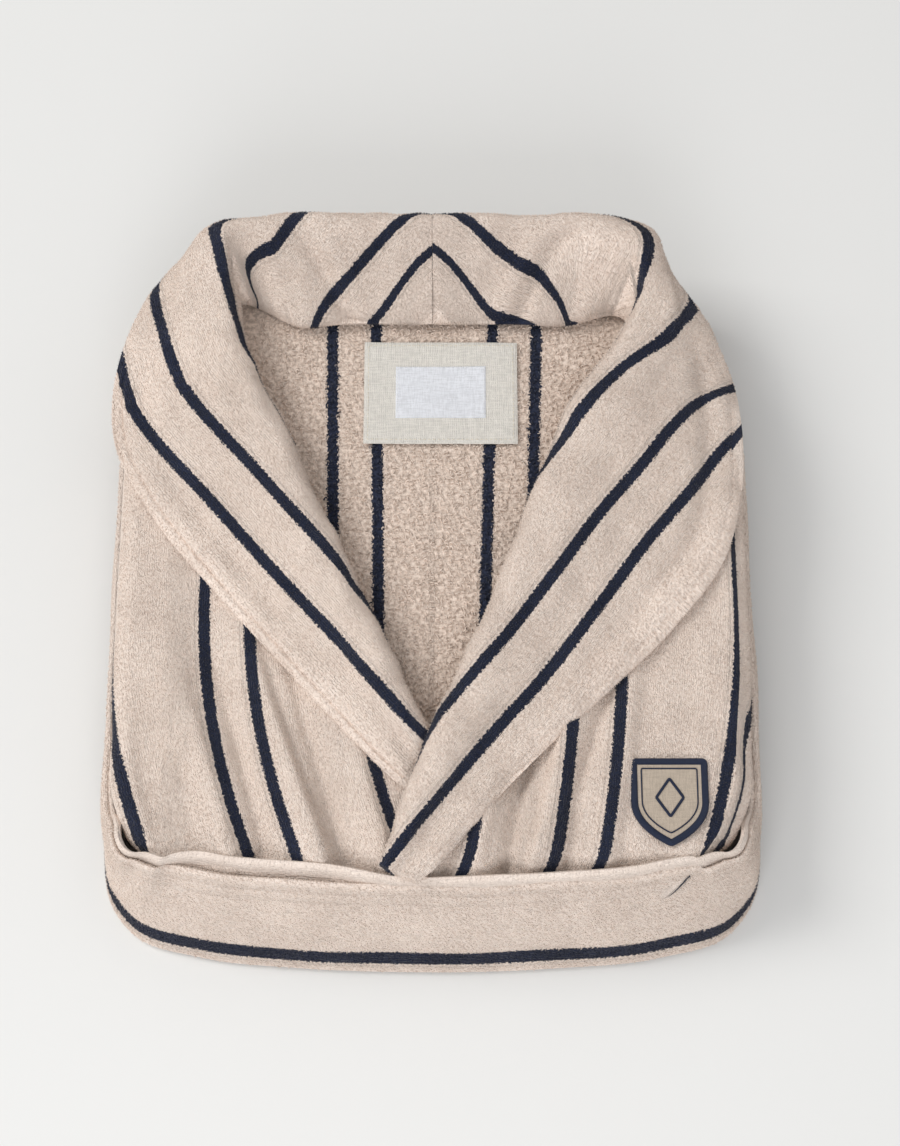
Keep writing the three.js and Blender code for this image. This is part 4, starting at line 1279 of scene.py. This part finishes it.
class ROBE_OT_sleeves(bpy.types.Operator):
    """Sleeves and turned-back cuffs, pressed flat between the skirt and the back"""

    bl_idname = "robe.sleeves"
    bl_label = "Sleeves and cuffs"

    def execute(self, context):
        velour = velour_material("Striped velour", context.scene.robe_cloth.pair_gap)
        slant = math.radians(30)
        half, length, seam, cuff = 0.070, 0.190, 0.0006, 0.062
        for side in (-1, 1):
            name = "left" if side < 0 else "right"
            axis = np.array([-side * math.cos(slant), -math.sin(slant)])
            across = np.array([-side * math.sin(slant), math.cos(slant)])
            armhole = np.array([side * (pack.half_pack - pack.gap), pack.rear_fold - 0.110])
            wide = np.array([0, half / math.cos(slant)])

            def at(along, sideways):
                return armhole + axis * along + across * sideways

            sleeve = [armhole - wide, at(length, -half), at(length, half), armhole + wide]
            cuff_start, cuff_end = length + seam, length + seam + cuff
            ends = [at(cuff_start, -half), at(cuff_end, -half), at(cuff_end, half), at(cuff_start, half)]
            for label, outline in (("sleeve", sleeve), ("cuff", ends)):
                low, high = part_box(f"{label}_{name}")
                piece = cushion_plate(
                    f"{label}_{name}_cloth", outline, low.z, high.z, velour, 0.004, turn=0.01,
                )
                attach(piece, "root")
                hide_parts(f"{label}_{name}")
        return {"FINISHED"}


class ROBE_OT_pockets(bpy.types.Operator):
    """Patch pockets on the underside of the pack"""

    bl_idname = "robe.pockets"
    bl_label = "Pockets"

    def execute(self, context):
        velour = velour_material("Striped velour", context.scene.robe_cloth.pair_gap)
        for side in (-1, 1):
            name = "left" if side < 0 else "right"
            low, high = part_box(f"pocket_{name}")
            outline = [(low.x, low.y), (low.x, high.y), (high.x, high.y), (high.x, low.y)]
            turn = (low.x + 0.129) if side < 0 else (low.x - 0.082)
            piece = cushion_plate(f"pocket_{name}_cloth", outline, low.z, high.z, velour, 0.0015, turn=turn)
            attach(piece, "root")
            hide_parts(f"pocket_{name}")
        return {"FINISHED"}


class ROBE_OT_belt_loops(bpy.types.Operator):
    """Narrow belt loops that lie slack against the sides"""

    bl_idname = "robe.belt_loops"
    bl_label = "Belt loops"

    def execute(self, context):
        velour = velour_material("Belt velour", 0.0, width=context.scene.robe_cloth.belt_stripe_width)
        for side in (-1, 1):
            name = "left" if side < 0 else "right"
            low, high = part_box(f"belt_loop_{name}")
            wall = low.x if side > 0 else high.x
            bulge = 0.0004
            rise = np.linspace(0, 1, 40)
            bow = np.sin(math.pi * rise) ** 0.6 * bulge
            line_x = wall + side * (0.0008 + bow)
            line_z = low.z + 0.0008 + rise * (high.z - low.z - 0.0016)
            ring = np.linspace(0, 2 * math.pi, 17)[:-1]
            across = np.cos(ring) * (high.y - low.y) / 2
            thick = np.sign(np.sin(ring)) * np.abs(np.sin(ring)) ** 0.5 * 0.0007
            rings = np.zeros((len(rise), len(ring), 3))
            rings[..., 0] = line_x[:, None] + thick
            rings[..., 1] = (low.y + high.y) / 2 + across
            rings[..., 2] = line_z[:, None]
            along = np.broadcast_to(line_z[:, None], rings.shape[:2])
            place = np.broadcast_to(across[None] + 0.04, rings.shape[:2])
            piece = make_skin(f"belt_loop_{name}_cloth", rings, velour, place, along)
            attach(piece, "root")
            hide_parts(f"belt_loop_{name}")
        return {"FINISHED"}


# ---------------------------------------------------------------- label and crest

def flat_trim(name, low, high, bottom, top, material, cuts=(60, 45), soft=0.0006, sag=None):
    """A thin rectangle of woven cloth with soft edges, following whatever it lies on."""
    x = np.linspace(low[0], high[0], cuts[0])
    y = np.linspace(low[1], high[1], cuts[1])
    gx, gy = np.meshgrid(x, y, indexing="ij")
    rise = sag(gx, gy) if sag else 0 * gx
    edge = np.minimum(np.minimum(gx - low[0], high[0] - gx), np.minimum(gy - low[1], high[1] - gy))
    puff = (top - bottom) * np.sqrt(1 - (1 - np.clip(edge / soft, 0.1, 1)) ** 2)
    upper = np.stack([gx, gy, bottom + rise + puff], axis=2).reshape(-1, 3)
    lower = np.stack([gx, gy, bottom + rise], axis=2).reshape(-1, 3)
    count = len(upper)
    wide = cuts[1]
    faces = []
    for i in range(cuts[0] - 1):
        for j in range(wide - 1):
            face = (i * wide + j, (i + 1) * wide + j, (i + 1) * wide + j + 1, i * wide + j + 1)
            faces.append(face)
            faces.append(tuple(count + k for k in face[::-1]))
    rim = [i * wide for i in range(cuts[0])]
    rim += [(cuts[0] - 1) * wide + j for j in range(1, wide)]
    rim += [i * wide + wide - 1 for i in range(cuts[0] - 2, -1, -1)]
    rim += [j for j in range(wide - 2, 0, -1)]
    for a, b in zip(rim, rim[1:] + rim[:1]):
        faces.append((a, b, count + b, count + a))
    across = np.tile(gx.ravel(), 2)
    along = np.tile(gy.ravel(), 2)
    return make_mesh(name, np.vstack([upper, lower]), faces, material, across, along)


class ROBE_OT_neck_label(bpy.types.Operator):
    """The linen patch under the collar with its blank woven label, both sewn down all round"""

    bl_idname = "robe.neck_label"
    bl_label = "Neck label"

    def execute(self, context):
        trim = context.scene.robe_trim
        linen = woven_material("Natural linen", tuple(trim.linen), 0.0011, 0.0009, 0.00018)
        satin = woven_material("White satin", tuple(trim.satin), 0.0006, 0.0003, 0.00005, 0.55)
        cream = thread_material("Cream thread", (0.62, 0.55, 0.45))
        white = thread_material("White thread", (0.75, 0.77, 0.82))
        low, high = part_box("neck_patch")
        low = (low.x + 0.0008, low.y + 0.0008)
        high = (high.x - 0.0008, high.y - 0.0008)

        def sag(x, y):
            return 0.0005 * ripple(x, y, 0.05, 71)

        base = pack.back_top + 0.0014
        top = base + 0.0011
        patch = flat_trim("neck_patch_cloth", low, high, base, top, linen, sag=sag)
        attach(patch, "root")
        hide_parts("neck_patch")
        self.border("neck_patch_stitches", low, high, 0.0025, top, sag, cream, "natural_linen")
        low_label, high_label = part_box("woven_label")
        low, high = (low_label.x, low_label.y), (high_label.x, high_label.y)
        label = flat_trim(
            "woven_label_cloth", low, high, top + 0.0001, top + 0.0006, satin, sag=sag, soft=0.0003,
        )
        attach(label, "root")
        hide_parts("woven_label")
        self.border("woven_label_stitches", low, high, 0.0009, top + 0.0006, sag, white, "white_satin")
        return {"FINISHED"}

    def border(self, name, low, high, margin, level, sag, material, slot):
        x0, y0, x1, y1 = low[0] + margin, low[1] + margin, high[0] - margin, high[1] - margin
        corners = np.array([(x0, y0), (x1, y0), (x1, y1), (x0, y1), (x0, y0)])
        at = lengths_along(corners)
        places = np.linspace(0, at[-1], 200)[:-1]
        x = np.interp(places, at, corners[:, 0])
        y = np.interp(places, at, corners[:, 1])
        points = np.stack([x, y, level + sag(x, y) + 0.00008], axis=1)
        stitch_row(name, points, material)


def shield_line(centre, tip, half, top, steps=24):
    """A plain heater shield, straight across its top and curved to a point, from the top left round."""
    height = top - tip
    waist = tip + 0.5 * height
    bend = tip + 0.22 * height
    t = np.linspace(0, 1, steps)[:, None]
    left = (1 - t) ** 2 * (-half, waist) + 2 * t * (1 - t) * (-half, bend) + t**2 * (0.0, tip)
    right = [(-x, y) for x, y in left[-2::-1].tolist()]
    points = [(-half, top), (-half, (top + waist) / 2), *left.tolist(), *right]
    points += [(half, (top + waist) / 2), (half, top), (half * 0.33, top), (-half * 0.33, top)]
    return np.array(points) + (centre, 0.0)


def satin_band(name, line, width, low, height, material):
    """A closed band of satin stitch along a line: a low rounded cord."""
    count = len(line)
    tangent = np.roll(line, -1, axis=0) - np.roll(line, 1, axis=0)
    tangent /= np.linalg.norm(tangent, axis=1, keepdims=True)
    side = np.stack([tangent[:, 1], -tangent[:, 0]], axis=1)
    ring = np.linspace(0, math.pi, 9)
    out = np.concatenate([np.cos(ring) * width / 2, [-width / 4, width / 4]])
    rise = np.concatenate([np.sin(ring) ** 0.6 * height, [0.0, 0.0]])
    points = np.zeros((count, len(out), 3))
    points[..., :2] = line[:, None] + side[:, None] * out[None, :, None]
    points[..., 2] = low + rise
    size = len(out)
    faces = []
    for i in range(count):
        n = (i + 1) % count
        for j in range(size):
            k = (j + 1) % size
            faces.append((i * size + j, i * size + k, n * size + k, n * size + j))
    closed = np.vstack([line, line[:1]])
    along = np.broadcast_to(lengths_along(closed)[:-1, None], points.shape[:2])
    across = np.broadcast_to(out[None], points.shape[:2])
    return make_mesh(name, points, faces, material, across, along)


def even_loop(line, step):
    """The closed line again with even steps and softened corners."""
    closed = np.vstack([line, line[:1]])
    at = lengths_along(closed)
    places = np.arange(0, at[-1], step)
    made = np.stack([np.interp(places, at, closed[:, k]) for k in range(2)], axis=1)
    for _ in range(3):
        made = (np.roll(made, 1, axis=0) + 2 * made + np.roll(made, -1, axis=0)) / 4
    return made


class ROBE_OT_crest(bpy.types.Operator):
    """A plain shield of twill with a satin-stitched border and lozenge"""

    bl_idname = "robe.crest"
    bl_label = "Crest"

    def execute(self, context):
        trim = context.scene.robe_trim
        thread = thread_material("Navy thread", tuple(trim.thread))
        twill = woven_material("Crest twill", tuple(trim.twill), 0.0008, 0.0008, 0.0001)
        low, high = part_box("crest_border")
        centre, half = (low.x + high.x) / 2, (high.x - low.x) / 2
        base = pack.right_top + 0.0018
        line = even_loop(shield_line(centre, low.y + 0.003, half - 0.0021, high.y - 0.0021), 0.0006)
        border = satin_band("crest_border_thread", line, 0.0040, base, 0.0017, thread)
        self.keep(border, "crest_border", "navy_thread")
        outline = even_loop(shield_line(centre, low.y + 0.0035, half - 0.0023, high.y - 0.0023), 0.0012)
        self.ground(outline, base, twill, centre, (low.y + high.y) / 2)
        middle = (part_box("crest_motif")[0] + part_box("crest_motif")[1]) / 2
        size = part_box("crest_motif")[1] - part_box("crest_motif")[0]
        diamond = np.array([(-size.x / 2, 0), (0, -size.y / 2), (size.x / 2, 0), (0, size.y / 2)])
        diamond = even_loop(diamond + (middle.x, middle.y), 0.0005)
        motif = satin_band("crest_lozenge_thread", diamond, 0.0016, base + 0.0007, 0.0007, thread)
        self.keep(motif, "crest_motif", "navy_thread")
        inner_line = even_loop(shield_line(centre, low.y + 0.0085, half - 0.0062, high.y - 0.0062), 0.0006)
        inner = satin_band("crest_inner_line", inner_line, 0.0008, base + 0.0007, 0.0005, thread)
        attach(inner, "root")
        return {"FINISHED"}

    def keep(self, piece, node, slot):
        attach(piece, "root")
        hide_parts(node)

    def ground(self, outline, base, twill, x, y):
        middle = np.array([x, y])
        shrink = np.linspace(1, 0.04, 14)
        rings = np.array([middle + (outline - middle) * k for k in shrink])
        upper = np.concatenate([rings, np.full((*rings.shape[:2], 1), base + 0.0007)], axis=2)
        lower = np.concatenate([rings[::-1], np.full((*rings.shape[:2], 1), base - 0.0002)], axis=2)
        rings = np.concatenate([upper[::-1], lower[::-1]], axis=0)
        across, along = rings[..., 0], rings[..., 1]
        piece = make_skin("crest_ground_cloth", rings, twill, across, along)
        self.keep(piece, "crest_ground", "crest_twill")


# ---------------------------------------------------------------- stage

class ROBE_OT_stage(bpy.types.Operator):
    """Pale floor, soft light from the left and the camera"""

    bl_idname = "robe.stage"
    bl_label = "Stage"

    def execute(self, context):
        scene = context.scene
        stage = scene.robe_stage
        scene.view_settings.view_transform = "Standard"
        self.camera(scene, stage)
        self.floor(stage)
        world = bpy.data.worlds.new("Studio")
        world.use_nodes = True
        world.node_tree.nodes["Background"].inputs["Color"].default_value = (1, 1, 1, 1)
        world.node_tree.nodes["Background"].inputs["Strength"].default_value = 0.555
        scene.world = world
        self.light("Key light", (-3.3, 1.1, 3.4), 2.3, stage.key_power, (1.0, 0.985, 0.96))
        self.light("Fill light", (-0.2, -1.9, 1.3), 1.2, stage.key_power * 0.17, (0.97, 0.98, 1.0))
        return {"FINISHED"}

    def camera(self, scene, stage):
        data = bpy.data.cameras.new("Camera")
        data.lens = stage.lens
        data.sensor_fit = "VERTICAL"
        data.sensor_width = 36
        data.sensor_height = 36
        camera = bpy.data.objects.new("Camera", data)
        scene.collection.objects.link(camera)
        target = Vector((0.0105, 0.005, 0.045))
        back = Vector((0, -math.cos(stage.elevation), math.sin(stage.elevation)))
        camera.location = target + back * stage.distance
        camera.rotation_euler = back.to_track_quat("Z", "Y").to_euler()
        scene.camera = camera

    def floor(self, stage):
        material, tree, shader = new_material("Paper", 0.9)
        place = add_node(tree, "ShaderNodeTexCoord").outputs["Object"]
        tone = noise(tree, place, 30, 3.0)
        paper = tuple(stage.floor)
        base = blend_colours(tree, tone, tuple(0.992 * c for c in paper), paper)
        tree.links.new(base, shader.inputs["Base Color"])
        shader.inputs["Specular IOR Level"].default_value = 0.1
        mesh = bpy.data.meshes.new("floor")
        size = 4.0
        corners = [(-size, -size, 0), (size, -size, 0), (size, size, 0), (-size, size, 0)]
        mesh.from_pydata(corners, [], [(0, 1, 2, 3)])
        mesh.materials.append(material)
        floor = bpy.data.objects.new("floor", mesh)
        bpy.context.scene.collection.objects.link(floor)

    def light(self, name, place, size, power, colour):
        data = bpy.data.lights.new(name, "AREA")
        data.size = size
        data.energy = power
        data.color = colour
        lamp = bpy.data.objects.new(name, data)
        lamp.location = place
        lamp.rotation_euler = Vector(place).to_track_quat("Z", "Y").to_euler()
        bpy.context.scene.collection.objects.link(lamp)


# ---------------------------------------------------------------- panel and registration

class ROBE_PT_panel(bpy.types.Panel):
    """Lists the steps that make the robe"""

    bl_idname = "ROBE_PT_panel"
    bl_label = "Bathrobe"
    bl_space_type = "VIEW_3D"
    bl_region_type = "UI"
    bl_category = "Bathrobe"

    def draw(self, context):
        for operator in OPERATORS:
            self.layout.operator(operator.bl_idname)
        for group in ("robe_cloth", "robe_trim", "robe_stage"):
            settings = getattr(context.scene, group)
            for name in settings.__annotations__:
                self.layout.prop(settings, name)


SETTINGS = {"robe_cloth": RobeClothSettings, "robe_trim": RobeTrimSettings, "robe_stage": RobeStageSettings}
OPERATORS = (
    ROBE_OT_stage,
    ROBE_OT_back_panel,
    ROBE_OT_front_panels,
    ROBE_OT_pockets,
    ROBE_OT_sleeves,
    ROBE_OT_collar,
    ROBE_OT_belt,
    ROBE_OT_belt_loops,
    ROBE_OT_neck_label,
    ROBE_OT_crest,
)


def register():
    for name, group in SETTINGS.items():
        bpy.utils.register_class(group)
        setattr(bpy.types.Scene, name, bpy.props.PointerProperty(type=group))
    for operator in OPERATORS:
        bpy.utils.register_class(operator)
    bpy.utils.register_class(ROBE_PT_panel)


def unregister():
    bpy.utils.unregister_class(ROBE_PT_panel)
    for operator in reversed(OPERATORS):
        bpy.utils.unregister_class(operator)
    for name, group in SETTINGS.items():
        delattr(bpy.types.Scene, name)
        bpy.utils.unregister_class(group)


def main():
    register()
    for operator in OPERATORS:
        family, step = operator.bl_idname.split(".")
        getattr(getattr(bpy.ops, family), step)()


if __name__ == "__main__":
    main()
